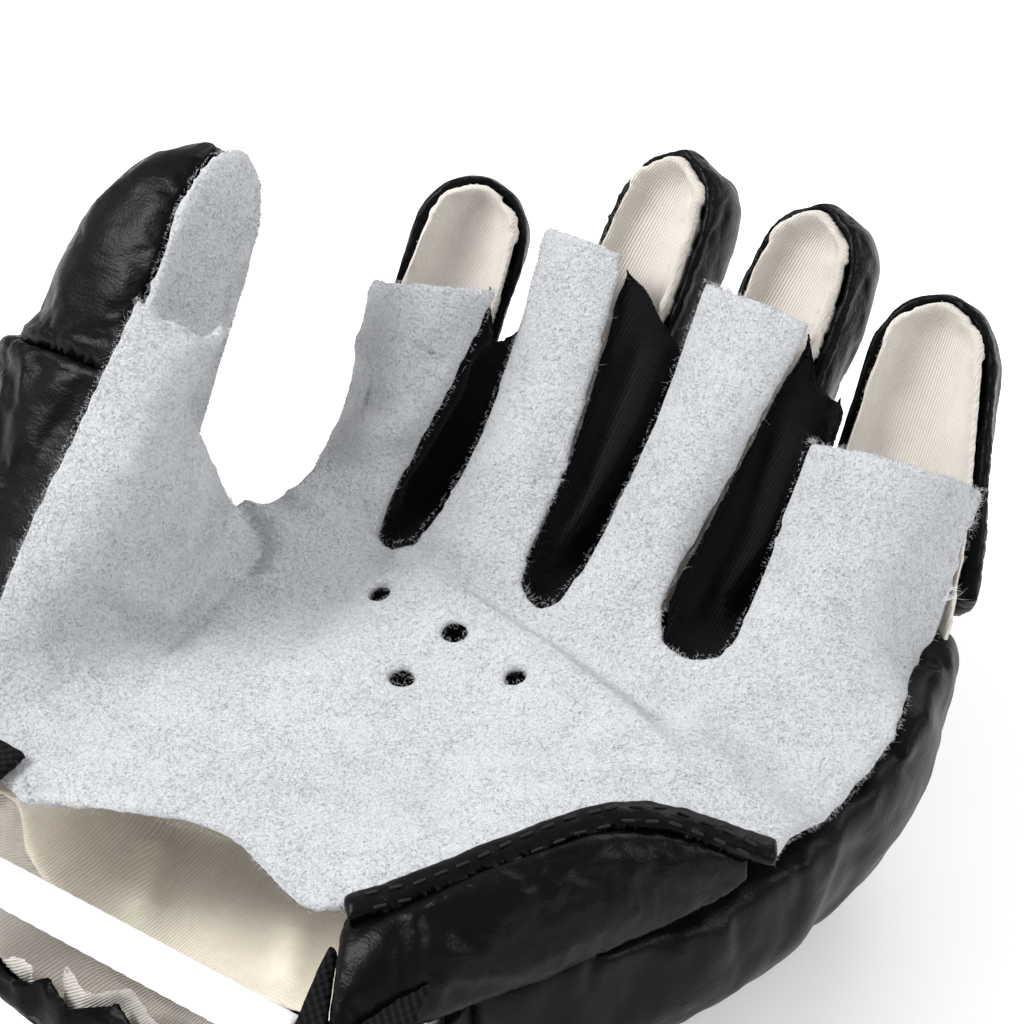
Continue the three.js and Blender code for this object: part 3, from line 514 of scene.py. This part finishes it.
def rounded(piece, marks, blur=3.0, reach=3.5, lift=0.0, out=0.0, loose=False):
    """Rounds rims. A mark follows its own edge, or all marks near it where the rim is loose."""
    places, runs = np.array([m[0] for m in marks]), np.array([m[2] for m in marks])
    off = places[None] - places[:, None]
    along = (off * runs[:, None]).sum(axis=2)
    beside = np.linalg.norm(off - along[..., None] * runs[:, None], axis=2)
    weights = np.clip(1 - np.linalg.norm(off, axis=2) / (blur * MM), 0, 1)
    if not loose:
        weights = weights * (beside < np.abs(along) * EDGE_SLOPE + EDGE_WIDTH * MM)
    shift = (weights[..., None] * places[None]).sum(axis=1) / weights.sum(axis=1)[:, None] - places
    if not loose:
        shift -= runs * (shift * runs).sum(axis=1)[:, None]
    tree = tree_of(places)
    spots = points_of(piece)
    outward = spots - spots.mean(axis=0)
    outward -= (outward @ np.array(away))[:, None] * np.array(away)
    outward /= np.linalg.norm(outward, axis=1)[:, None]
    for i, spot in enumerate(spots):
        near = tree.find_n(spot, FOLLOWED)
        fade = max(0, 1 - near[0][2] / (reach * MM))
        if fade > 0:
            turn = out * MM * outward[i] + lift * MM * np.array(away)
            spots[i] += fade * (sum(shift[at] for _, at, _ in near) / FOLLOWED + turn)
    set_points(piece, spots)


RIM_REACH, RIM_TOP, RIM_GAIN = 4, 0.6, 1.6
TIP_DEPTH, TIP_BAND = 9, 1.5
TIP_LEVELS, LEVEL_BAND, NARROWEST = 14, 0.7, 0.6
WIDEST = 1.7


def round_tip(piece, marks):
    """Widens the pointed end of an opening into a half circle, as the cloth was cut."""
    spots, up = points_of(piece), np.array(away)
    middle = spots.mean(axis=0)
    along = np.linalg.svd(spots - middle, full_matrices=False)[2][0]
    along = (along - up * (along @ up)) * (1 if along[1] > 0 else -1)
    along /= np.linalg.norm(along)
    across = np.cross(up, along)
    rim = nearness(marks, spots, RIM_REACH * MM)
    a, b = (spots - middle) @ along, (spots - middle) @ across
    top = rim > RIM_TOP
    end = a[top].max()
    band = b[top & (np.abs(a - end + TIP_DEPTH * MM) < TIP_BAND * MM)]
    centre, half = (band.max() + band.min()) / 2, (band.max() - band.min()) / 2
    levels = np.linspace(end - half, end, TIP_LEVELS)
    for side in (-1, 1):
        reach = []
        for level in levels:
            beside = (side * (b - centre))[top & (np.abs(a - level) < LEVEL_BAND * MM)]
            reach.append(max([NARROWEST * MM, *beside]))
        wish = half * np.sqrt(np.clip(1.02 - ((a - end + half) / half) ** 2, 0, 1))
        ratio = np.clip(wish / np.interp(a, levels, reach), 1, WIDEST)
        use = (side * (b - centre) > 0) & (a > end - half)
        spots += (use * (b - centre) * (ratio - 1) * np.clip(rim * RIM_GAIN, 0, 1))[:, None] * across
    set_points(piece, spots)


def close_up(piece, other, reach=1.3, left=0.12):
    """Draws a piece's nearest points to another piece, so no light shows between them."""
    tree = skin_of(other)
    spots = points_of(piece)
    for i, spot in enumerate(spots):
        place, _, _, far = tree.find_nearest(Vector(spot), reach * MM)
        if place is not None and far > left * MM:
            spots[i] = Vector(spot).lerp(place, 1 - left * MM / far)
    set_points(piece, spots)


print("a tip's rim may grow", WIDEST, "times as wide")


# %% Copy and settle
MERGE_WITHIN = 0.002
FULL_SHARE, LEAST_SHARE = 0.98, 0.02
RIM_ROUNDS = 10


def soft_copy(node, cell, rounds, guard=3.0, final=4):
    """A smooth, evenly netted copy of a node, with its rims kept."""
    piece = bpy.data.objects.new(node + "_soft", frame["nodes"][node].data.copy())
    scene.collection.objects.link(piece)
    only(piece)
    bpy.ops.object.mode_set(mode="EDIT")
    bpy.ops.mesh.select_all(action="SELECT")
    bpy.ops.mesh.remove_doubles(threshold=MERGE_WITHIN * MM)
    bpy.ops.object.mode_set(mode="OBJECT")
    marks = rims_of(piece)
    shape_by(piece, "REMESH", mode="VOXEL", voxel_size=cell * MM, use_smooth_shade=True)
    if marks:
        near = nearness(marks, points_of(piece), guard * MM)
        group = piece.vertex_groups.new(name="inside")
        for i, share in enumerate(near):
            if share < FULL_SHARE:
                group.add([i], 1 - share, "REPLACE")
        shape_by(piece, "SMOOTH", factor=0.5, iterations=rounds, vertex_group="inside")
        edge = piece.vertex_groups.new(name="rim")
        for i, share in enumerate(nearness(marks, points_of(piece), cell * 2 * MM)):
            if share > LEAST_SHARE:
                edge.add([i], float(share), "REPLACE")
        shape_by(piece, "SMOOTH", factor=0.5, iterations=RIM_ROUNDS, vertex_group="rim")
    shape_by(piece, "SMOOTH", factor=0.5, iterations=final)
    piece.vertex_groups.clear()
    piece.data.materials.clear()
    bpy.ops.object.shade_smooth()
    return piece, marks


def settle(piece, node, slot, finish_name=None):
    """Gives a finished piece its finish and its node."""
    piece.data.materials.clear()
    piece.data.materials.append(FINISH_OF[finish_name or slot])
    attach(piece, "root")
    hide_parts(node)
    print(piece.name, len(piece.data.polygons) * 2, "triangles")


print("every rim is smoothed", RIM_ROUNDS, "rounds")

# %% [markdown]
# Soft goods are never quite even. A noise moves each point a little along the way it faces, and
# folds and creases are drawn as lines over the picture. A ray from the camera finds where each line
# lies on the piece, which is quicker than sculpting and can be changed by moving one spot.

# %% Wrinkles
PICTURE_STEP = 8
FOLD_REACH = 2.5


def lumps(spot, size, seed=0.0):
    """Smooth noise between -1 and 1 with lumps of size millimetres."""
    return noise.noise(Vector(spot) / (size * MM) + Vector((seed, seed * 1.7, 0)))


def roughen(piece, *layers):
    """Moves each point along its way by noise: each layer has a size and a height in millimetres."""
    spots, ways = points_of(piece), directions_of(piece)
    moved = np.zeros(len(spots))
    for size, height in layers:
        moved += np.array([lumps(spot, size, size) for spot in spots]) * height * MM
    set_points(piece, spots + ways * moved[:, None])


def seen(piece, *spots):
    """The points of a piece behind a line of picture spots, with the way the piece faces there."""
    tree = skin_of(piece)
    found, depth = [], (camera.location - SIGHT).length
    for (x0, y0), (x1, y1) in zip(spots[:-1], spots[1:]):
        count = max(1, round(math.dist((x0, y0), (x1, y1)) / PICTURE_STEP))
        for i in range(count + 1):
            line = sight_line(x0 + (x1 - x0) * i / count, y0 + (y1 - y0) * i / count)
            place, way, _, far = tree.ray_cast(camera.location, line)
            if place is None:
                place, way, _, _ = tree.find_nearest(camera.location + line * depth)
            else:
                depth = far
            found.append((place, way))
    return found


def creased(piece, folds):
    """Raises folds and presses creases in: each has a height, a width and its line in the picture."""
    for height, width, *spots in folds.values():
        line = seen(piece, *spots)
        way = sum((way for _, way in line), Vector()).normalized()
        tree = tree_of([place for place, _ in line])
        points = points_of(piece)
        for i, point in enumerate(points):
            _, at, far = tree.find(point)
            if far < width * FOLD_REACH * MM:
                fade = min(1, 2.5 * math.sin(math.pi * (at + 0.5) / len(line)) + 0.1)
                points[i] += np.array(way) * height * MM * fade * math.exp(-(far / (width * MM)) ** 2)
        set_points(piece, points)


print("a fold reaches", FOLD_REACH, "times its width")

# %% [markdown]
# Foam under leather pushes it out between the seams. A short cloth simulation with air pressure and
# a little spare cloth makes that swelling and its puckers. The seams are held, and how far any
# point may move is capped, because the leather is only a skin over its foam.

# %% Swelling by simulation
STEPS = 20
STILL = 1e-9


def swollen(piece, marks, pressure=4.0, cap=1.6, spare=0.03, hold=2.0):
    """Lets a piece swell like stuffed leather, with its rims held."""
    start = points_of(piece)
    only(piece)
    held = piece.vertex_groups.new(name="seams")
    for i, share in enumerate(nearness(marks, start, hold * MM)):
        held.add([i], float(share), "REPLACE")
    bpy.ops.object.modifier_add(type="CLOTH")
    cloth = piece.modifiers[-1]
    cloth.settings.use_pressure = True
    cloth.settings.uniform_pressure_force = pressure
    cloth.settings.vertex_group_mass = "seams"
    cloth.settings.shrink_min = -spare
    cloth.settings.effector_weights.gravity = 0
    cloth.settings.quality = 4
    for frame_number in range(1, STEPS + 1):
        scene.frame_set(frame_number)
    loose = piece.evaluated_get(bpy.context.evaluated_depsgraph_get())
    moved = points_of(loose) - start
    piece.modifiers.remove(cloth)
    scene.frame_set(1)
    far = np.linalg.norm(moved, axis=1)
    limit = np.minimum(1, cap * MM / np.maximum(far, STILL))
    set_points(piece, start + moved * limit[:, None])
    piece.vertex_groups.clear()


print("swelling is", "simulated", "over", STEPS, "steps")

# %% [markdown]
# ## The suede palm
# One sheet of suede runs from the wrist over the palm and up the four finger tabs, with a patch that
# turns up over the thumb. It could be cut flat and dropped as cloth, but sewn suede keeps the shape
# it was sewn in. So the sheet is the measured one, and its folds are pressed in along the lines where
# the photo shows them. Each fold is a height and a width in millimetres, then spots in the picture.

# %% Palm folds
PALM_FOLDS = {
    "ridge_across_palm": (
        0.9, 1.7, (285, 490), (340, 517), (400, 553), (470, 595),
        (540, 642), (600, 689), (650, 733), (690, 770)),
    "valley_beside_ridge": (
        -1.9, 3.0, (300, 478), (352, 503), (414, 540), (484, 581),
        (554, 627), (614, 674), (664, 717), (704, 757)),
    "slope_to_fingers": (-0.8, 7.0, (330, 470), (390, 500), (470, 545), (560, 605), (640, 670)),
    "thumb_crease": (-1.6, 2.4, (95, 592), (130, 618), (174, 640), (212, 606), (240, 578)),
    "thumb_crease_lip": (0.8, 2.4, (90, 570), (130, 595), (172, 612), (205, 580), (226, 556)),
    "web_pocket": (-2.8, 2.0, (240, 500), (258, 525), (262, 545), (246, 572)),
    "web_pocket_lip": (1.2, 2.0, (222, 470), (234, 500), (240, 535), (232, 560)),
    "thumb_hem": (-1.2, 1.4, (150, 296), (174, 330), (200, 334), (226, 334)),
    "thumb_hem_lip": (0.8, 1.6, (140, 288), (172, 316), (200, 322), (226, 318)),
    "index_crease": (-1.5, 3.2, (362, 398), (385, 402), (410, 392), (436, 350)),
    "index_crease_lip": (1.0, 3.5, (352, 430), (390, 428), (430, 400), (452, 360)),
    "index_root": (-1.1, 3.5, (318, 462), (360, 468), (405, 452)),
    "middle_crease": (-0.9, 3.5, (524, 350), (535, 400), (552, 450), (548, 500)),
    "thumb_side_crease": (-0.8, 3.0, (60, 420), (110, 405), (150, 425), (170, 470)),
    "thumb_side_lip": (0.8, 4.0, (90, 460), (140, 470), (165, 520)),
    "thumb_ball": (-0.3, 5.0, (60, 660), (120, 690), (190, 760)),
    "little_side_dip": (-0.6, 4.0, (640, 600), (620, 650), (650, 700)),
}
print(len(PALM_FOLDS), "folds in the palm")

# %% Palm
palm, palm_rims = soft_copy("palm_suede", 0.85, 40)
creased(palm, PALM_FOLDS)
roughen(palm, (14, 0.35), (3.2, 0.1), (1.2, 0.06))
settle(palm, "palm_suede", "suede")

# %% Thumb tip
tip, tip_rims = soft_copy("thumb_tip_suede", 0.6, 20, guard=2)
roughen(tip, (6, 0.3), (1.1, 0.1))
settle(tip, "thumb_tip_suede", "suede")

# %% [markdown]
# ## Knit between the fingers
# The side walls of the fingers are a soft black knit. It is cut wide, so it folds along the finger.
# Cloth simulation would fold it anywhere. A raised line beside a pressed one puts the roll where the
# photo has it.

# %% Gussets
GUSSET_FOLDS = {
    "gusset_index_middle": {
        "roll": (2.4, 2.0, (500, 320), (492, 370), (470, 430), (432, 480), (412, 515)),
        "valley": (-2.2, 1.6, (486, 350), (470, 400), (430, 465), (402, 505)),
    },
    "gusset_middle_ring": {
        "roll": (2.6, 2.2, (660, 350), (632, 420), (600, 480), (562, 530), (545, 575)),
        "valley": (-2.2, 1.8, (640, 330), (606, 420), (580, 490), (548, 545)),
    },
    "gusset_ring_little": {
        "roll": (2.4, 2.0, (800, 420), (780, 480), (760, 540), (722, 590), (715, 625)),
        "valley": (-2.2, 1.8, (772, 430), (752, 500), (735, 550), (700, 610)),
    },
}
for node, folds in GUSSET_FOLDS.items():
    wall, rims = soft_copy(node, 0.7, 20, guard=1.2, final=7)
    rounded(wall, rims, blur=5, reach=5, loose=True)
    creased(wall, folds)
    roughen(wall, (7, 0.35))
    cut_layout(wall, radius=20)
    settle(wall, node, "knit")

# %% [markdown]
# ## Padded leather
# The finger hoods, the thumb's back, the heel pad and the back of the hand are foam under leather.
# They could be sculpted, but pressure on a net with held seams gives the same plump shape and
# puckers by itself, so each one swells a little by simulation and is then made uneven.

# %% Finger hoods
FINGERS = ("index", "middle", "ring", "little")
hoods, lining_rims = {}, {}
for name in FINGERS:
    hood, rims = soft_copy(f"{name}_back", 0.8, 28, guard=2, final=6)
    rounded(hood, rims)
    swollen(hood, rims, cap=0.4, spare=0.015)
    roughen(hood, (9, 0.35), (3.0, 0.14))
    settle(hood, f"{name}_back", "leather")
    hoods[name] = hood

# %% Thumb back
lower, rims = soft_copy("thumb_back_lower", 0.9, 24, guard=1.6)
swollen(lower, rims, cap=0.5, spare=0.02)
roughen(lower, (8, 0.35), (3.0, 0.14))
settle(lower, "thumb_back_lower", "leather")
upper, rims = soft_copy("thumb_back_upper", 0.9, 24, guard=1.6)
swollen(upper, rims, cap=0.5, spare=0.02)
roughen(upper, (8, 0.35), (3.0, 0.14))
close_up(upper, lower, reach=1.8)
close_up(tip, upper, reach=0.9)
settle(upper, "thumb_back_upper", "leather")

# %% Heel pad
HEEL_WRINKLES = {
    "end_fold": (-0.7, 1.4, (395, 925), (402, 945), (398, 975)),
    "second_fold": (-0.5, 1.2, (425, 905), (432, 935), (428, 960)),
    "middle_fold": (-0.5, 1.2, (520, 868), (540, 890), (545, 915)),
    "far_fold": (-0.4, 1.2, (640, 830), (660, 850), (655, 880)),
}
heel, rims = soft_copy("heel_pad", 0.9, 24, guard=1.6)
swollen(heel, rims, cap=0.7, spare=0.02)
creased(heel, HEEL_WRINKLES)
roughen(heel, (9, 0.3), (2.6, 0.14))
settle(heel, "heel_pad", "leather")

welt, rims = soft_copy("heel_welt", 0.45, 6, guard=0.8)
roughen(welt, (3, 0.22), (1.2, 0.08))
close_up(welt, heel, reach=1.2)
settle(welt, "heel_welt", "leather")

# %% Back of the hand
HAND_WRINKLES = {
    "little_side_upper": (-0.8, 1.2, (905, 655), (930, 662), (955, 664)),
    "little_side_lower": (-0.6, 1.2, (880, 735), (895, 752), (912, 775)),
    "beside_welt": (-0.7, 1.3, (792, 850), (802, 880), (800, 905)),
    "under_heel": (-0.8, 1.4, (598, 945), (596, 965), (588, 990)),
    "under_middle": (-0.5, 1.2, (720, 890), (735, 915), (738, 940)),
}
LOWEST = (-1, -1, 0)
hand, rims = soft_copy("hand_back", 2.2, 16, guard=4)
swollen(hand, rims, cap=0.9, spare=0.02, hold=4)
set_points(hand, np.maximum(points_of(hand), LOWEST))
shape_by(hand, "SUBSURF", levels=1, render_levels=1)
creased(hand, HAND_WRINKLES)
roughen(hand, (14, 0.5), (4, 0.22))
set_points(hand, np.maximum(points_of(hand), LOWEST))
settle(hand, "hand_back", "leather")

# %% [markdown]
# ## Linings, cuff, tape and webbing
# Cream twill lines each hood and the hand. Where the hand went in, it lies in a few soft folds. The
# finger linings are turned out over the rim of their hoods, so their rims are lifted, spread and
# rounded, and then drawn close to the leather.

# %% Finger linings
for name in FINGERS:
    lining, lining_rims[name] = soft_copy(f"{name}_lining", 0.65, 20, guard=1)
    rounded(lining, lining_rims[name], blur=4, out=0.9, lift=0.8)
    round_tip(lining, lining_rims[name])
    shape_by(lining, "SMOOTH", factor=0.5, iterations=4)
    roughen(lining, (8, 0.25))
    close_up(lining, hoods[name], reach=0.6)
    cut_layout(lining, radius=14)
    settle(lining, f"{name}_lining", "twill")

# %% Hand lining
LINING_FOLDS = {
    "thumb_side_fold": (1.5, 2.6, (162, 840), (155, 870), (142, 915)),
    "little_side_fold": (1.2, 3.0, (300, 925), (298, 950), (290, 990)),
}
WRIST_ROUND = 42
hand_lining, rims = soft_copy("hand_lining", 1.0, 12, guard=1.5)
creased(hand_lining, LINING_FOLDS)
roughen(hand_lining, (9, 0.3))
cut_layout(hand_lining, middle=(-4, -20, 8), along=(0, 1, 0), radius=WRIST_ROUND)
settle(hand_lining, "hand_lining", "twill", finish_name="hand")

# %% Cuff
cuff, rims = soft_copy("cuff", 0.7, 20, guard=0.8, final=14)
rounded(cuff, rims, blur=4, loose=True)
roughen(cuff, (5, 0.3), (2, 0.12))
settle(cuff, "cuff", "leather")
cuff_lining, rims = soft_copy("cuff_lining", 0.75, 16, guard=0.8, final=10)
rounded(cuff_lining, rims, blur=4, loose=True)
close_up(cuff_lining, hand_lining, reach=2.2)
cut_layout(cuff_lining, middle=(-4, -80, 8), along=(0, 1, 0), radius=WRIST_ROUND)
settle(cuff_lining, "cuff_lining", "twill")

# %% Tape and webbing
tape, rims = soft_copy("wrist_tape", 0.4, 4, guard=1, final=2)
cut_layout(tape)
settle(tape, "wrist_tape", "tape")
for node in ("webbing_little_side", "webbing_thumb_side"):
    strap, rims = soft_copy(node, 0.5, 4, guard=1, final=2)
    cut_layout(strap)
    settle(strap, node, "webbing")

# %% [markdown]
# ## Fibres and thread
# A fibre is modelled once, as a three-sided spike cut into lengths so that it can bend, and copied
# many times. Short ones lie on the suede as its nap, longer ones stand out of its cut rims, and the
# longest are loose ends of thread. A particle system would do it too, but joined copies are plain
# faces.

# %% One fibre
def fibre(name, bends):
    """The points and faces of a spike one unit long, cut so that it can bend."""
    bpy.ops.object.select_all(action="DESELECT")
    bpy.ops.mesh.primitive_cone_add(vertices=3, radius1=0.5, radius2=0, depth=1, end_fill_type="NOTHING")
    shape = bpy.context.object
    shape.name = name
    bpy.ops.object.mode_set(mode="EDIT")
    bpy.ops.mesh.select_all(action="SELECT")
    bpy.ops.transform.translate(value=(0, 0, 0.5))
    for i in range(bends):
        bpy.ops.mesh.select_all(action="SELECT")
        bpy.ops.mesh.bisect(plane_co=(0, 0, (i + 1) / (bends + 1)), plane_no=(0, 0, 1))
    bpy.ops.object.mode_set(mode="OBJECT")
    spots = points_of(shape)
    faces = [tuple(p.vertices) for p in shape.data.polygons]
    bpy.data.objects.remove(shape)
    return spots, faces


straight, bent, curved = fibre("spike", 0), fibre("bent_spike", 1), fibre("curved_spike", 4)
print("points of a fibre:", [len(points) for points, _ in (straight, bent, curved)])


# %% Copies of a fibre
def spread(name, pattern, roots, ways, length, thick, curl, slot, seed):
    """Makes one piece of many copies of a fibre, each turned and bent by chance."""
    spots, faces = pattern
    draw = np.random.default_rng(seed)
    count = len(roots)
    ways = np.asarray(ways) / np.linalg.norm(ways, axis=1)[:, None]
    side = np.cross(ways, draw.normal(size=(count, 3)))
    side /= np.linalg.norm(side, axis=1)[:, None]
    other = np.cross(ways, side)
    long = length * MM * draw.uniform(0.5, 1.2, count)
    lean = curl * draw.uniform(0.3, 1.3, count) * long
    x, y, z = spots.T
    rise = ways[:, None] * (z * (1 - 0.3 * curl * z))[None, :, None] * long[:, None, None]
    bend = side[:, None] * (x[None] * thick * MM + z[None] ** 2 * lean[:, None])[..., None]
    breadth = other[:, None] * (y * thick * MM)[None, :, None]
    all_spots = roots[:, None] + rise + bend + breadth
    mesh = bpy.data.meshes.new(name)
    net = [[i + turn * len(spots) for i in face] for turn in range(count) for face in faces]
    mesh.from_pydata(all_spots.reshape(-1, 3).tolist(), [], net)
    piece = bpy.data.objects.new(name, mesh)
    scene.collection.objects.link(piece)
    piece.data.materials.append(FINISH_OF[slot])
    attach(piece, "root")
    print(name, count, "copies,", sum(len(f) - 2 for f in faces) * count, "triangles")


# %% Nap
FACING_LEAST = -0.15
NAP = {"length": 0.75, "thick": 0.13, "curl": 0.2, "slot": "suede"}


def nap_places(piece, count, seed):
    """Spots on the side of a piece that faces the camera, with the way it faces."""
    draw = np.random.default_rng(seed)
    polygons = piece.data.polygons
    sizes = np.zeros(len(polygons))
    ways = np.zeros(len(polygons) * 3)
    centres = np.zeros(len(polygons) * 3)
    polygons.foreach_get("area", sizes)
    polygons.foreach_get("normal", ways)
    polygons.foreach_get("center", centres)
    ways, centres = ways.reshape(-1, 3), centres.reshape(-1, 3)
    sizes *= (ways @ np.array(away) > FACING_LEAST)
    chosen = draw.choice(len(polygons), count, p=sizes / sizes.sum())
    jitter = draw.normal(size=(count, 3)) * 0.3 * MM
    jitter -= ways[chosen] * (jitter * ways[chosen]).sum(axis=1)[:, None]
    return centres[chosen] + jitter - ways[chosen] * 0.05 * MM, ways[chosen]


for piece, count, seed in ((palm, 48000, 3), (tip, 8000, 4)):
    roots, ways = nap_places(piece, count, seed)
    drift = np.array([[lumps(root, 5, 1), lumps(root, 5, 9), lumps(root, 5, 17)] for root in roots])
    lean = ways * 0.4 + drift * 1.2 + np.random.default_rng(seed).normal(size=roots.shape) * 0.35
    spread(piece.name.replace("soft", "nap"), straight, roots, lean, **NAP, seed=seed)

# %% Frayed rims
def rim_fibres(name, marks, count, length, thick, slot, seed):
    """Fibres that stand out of cut rims."""
    draw = np.random.default_rng(seed)
    chosen = [marks[i] for i in draw.integers(0, len(marks), count)]
    roots = np.array([place for place, _, _ in chosen])
    ways = np.array([way for _, way, _ in chosen]) + draw.normal(size=(count, 3)) * 0.65
    spread(name, bent, roots - ways * 0.3 * MM, ways, length, thick, 0.8, slot, seed)


rim_fibres("suede_rim_fibres", palm_rims, 6500, length=0.65, thick=0.08, slot="suede", seed=5)
rim_fibres("suede_rim_wisps", palm_rims, 500, length=1.9, thick=0.06, slot="suede", seed=6)
rim_fibres("thumb_rim_fibres", tip_rims, 1500, length=0.7, thick=0.09, slot="suede", seed=7)
for name in FINGERS:
    marks = lining_rims[name]
    rim_fibres(f"{name}_lining_fibres", marks, 900, length=0.8, thick=0.07, slot="twill", seed=8)

# %% Loose ends
LOOSE_ENDS = {
    "little_side_thread": dict(
        spots=((940, 600), (946, 590)), way=(0.8, 0.1, 0.1),
        count=16, length=4.2, thick=0.22, slot="fray", seed=11),
    "ring_corner_fray": dict(
        spots=((716, 288), (742, 292)), way=(-0.5, 0.7, 0.6),
        count=60, length=1.7, thick=0.12, slot="suede", seed=12),
    "little_corner_fray": dict(
        spots=((822, 438), (850, 444)), way=(-0.5, 0.6, 0.6),
        count=70, length=1.9, thick=0.12, slot="suede", seed=13),
    "little_far_fray": dict(
        spots=((972, 492), (978, 500), (970, 530)), way=(0.9, 0.1, 0.3),
        count=60, length=1.6, thick=0.11, slot="suede", seed=14),
    "wrist_corner_fray": dict(
        spots=((24, 770), (34, 800), (60, 806)), way=(-0.5, -0.8, 0.2),
        count=90, length=2.2, thick=0.11, slot="suede", seed=15),
}


def tuft(name, piece, spots, way, count, length, thick, slot, seed):
    """A bundle of thread ends along a short line in the picture, all leaning one way."""
    draw = np.random.default_rng(seed)
    line = seen(piece, *spots)
    roots = np.array([line[i][0] for i in draw.integers(0, len(line), count)])
    ways = np.array(way) + draw.normal(size=(count, 3)) * 0.45
    spread(name, curved, roots, ways, length, thick, 0.9, slot, seed)


for name, ends in LOOSE_ENDS.items():
    tuft(name, palm, **ends)

# %% [markdown]
# ## Stitching
# Two rows of black thread hold the welt to the suede. A stitch is a short length of thread that dives
# in at both ends. An array on a curve would slide off the leather, so one stitch is modelled and
# copied along lines that are found on the welt itself.

# %% One stitch
STITCH_WIDE, STITCH_LONG, STITCH_WAIST = 0.38, 2.1, 0.6
bpy.ops.object.select_all(action="DESELECT")
bpy.ops.mesh.primitive_cylinder_add(vertices=5, radius=STITCH_WIDE * MM, depth=STITCH_LONG * MM)
stitch = bpy.context.object
bpy.ops.object.mode_set(mode="EDIT")
for height in (-STITCH_WAIST * MM, STITCH_WAIST * MM):
    bpy.ops.mesh.select_all(action="SELECT")
    bpy.ops.mesh.bisect(plane_co=(0, 0, height), plane_no=(0, 0, 1))
bpy.ops.object.mode_set(mode="OBJECT")
shape_by(stitch, "SUBSURF", levels=1, render_levels=1)
stitch_shape = points_of(stitch)
stitch_faces = [tuple(p.vertices) for p in stitch.data.polygons]
bpy.data.objects.remove(stitch)
print("a stitch has", len(stitch_faces), "faces")

# %% Stitched rows
STITCH_PITCH, STITCH_LIFT = 2.6, 0.1
WELT_ROWS = {
    "outer_row": (
        (372, 893), (420, 882), (470, 862), (520, 838), (570, 818),
        (620, 806), (668, 808), (715, 826), (765, 850)),
    "inner_row": (
        (380, 906), (430, 895), (480, 877), (530, 853), (580, 833),
        (628, 821), (668, 822), (712, 838), (758, 858)),
}


def stitched(name, piece, pitch, slot, rows):
    """Copies the stitch along lines of the picture, laid on a piece."""
    spots, faces = [], []
    for row in rows.values():
        line = seen(piece, *row)
        walked = pitch * MM
        for (a, way), (b, _) in zip(line[:-1], line[1:]):
            run = b - a
            walked += run.length
            if run.length > 0 and walked >= pitch * MM:
                walked = 0
                turn = np.array([way.cross(run).normalized(), way, run.normalized()])
                shift = len(spots) * len(stitch_shape)
                spots.append(stitch_shape @ turn + np.array(a + way * STITCH_LIFT * MM))
                faces += [tuple(i + shift for i in face) for face in stitch_faces]
    mesh = bpy.data.meshes.new(name)
    mesh.from_pydata(np.concatenate(spots).tolist(), [], faces)
    rows_piece = bpy.data.objects.new(name, mesh)
    scene.collection.objects.link(rows_piece)
    mesh.materials.append(FINISH_OF[slot])
    mesh.shade_smooth()
    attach(rows_piece, "root")
    print(name, len(spots), "stitches")


stitched("welt_stitches", welt, STITCH_PITCH, "thread", WELT_ROWS)

# %% [markdown]
# ## Floor
# The glove lies on a wide pale sheet. In the photo the white around it is almost lost in light, and
# only a faint shadow stays. A sheet with a little light of its own gives that, where a stronger lamp
# would bleach the suede as well.

# %% Floor
FLOOR_WIDE, FLOOR_DROP, FLOOR_GLOW = 12, 0.2, 0.23
floor_finish = finish("floor_pale", 0.8, specular_ior_level=0.1)
plain(floor_finish, (0.95, 0.95, 0.95), glow=FLOOR_GLOW)
bpy.ops.mesh.primitive_plane_add(size=FLOOR_WIDE, location=(0, 0, -FLOOR_DROP * MM))
floor = bpy.context.object
floor.name = "floor"
bpy.ops.object.transform_apply(location=True, rotation=True, scale=True)
floor.data.materials.append(floor_finish)
print("the floor is", FLOOR_WIDE, "m wide")
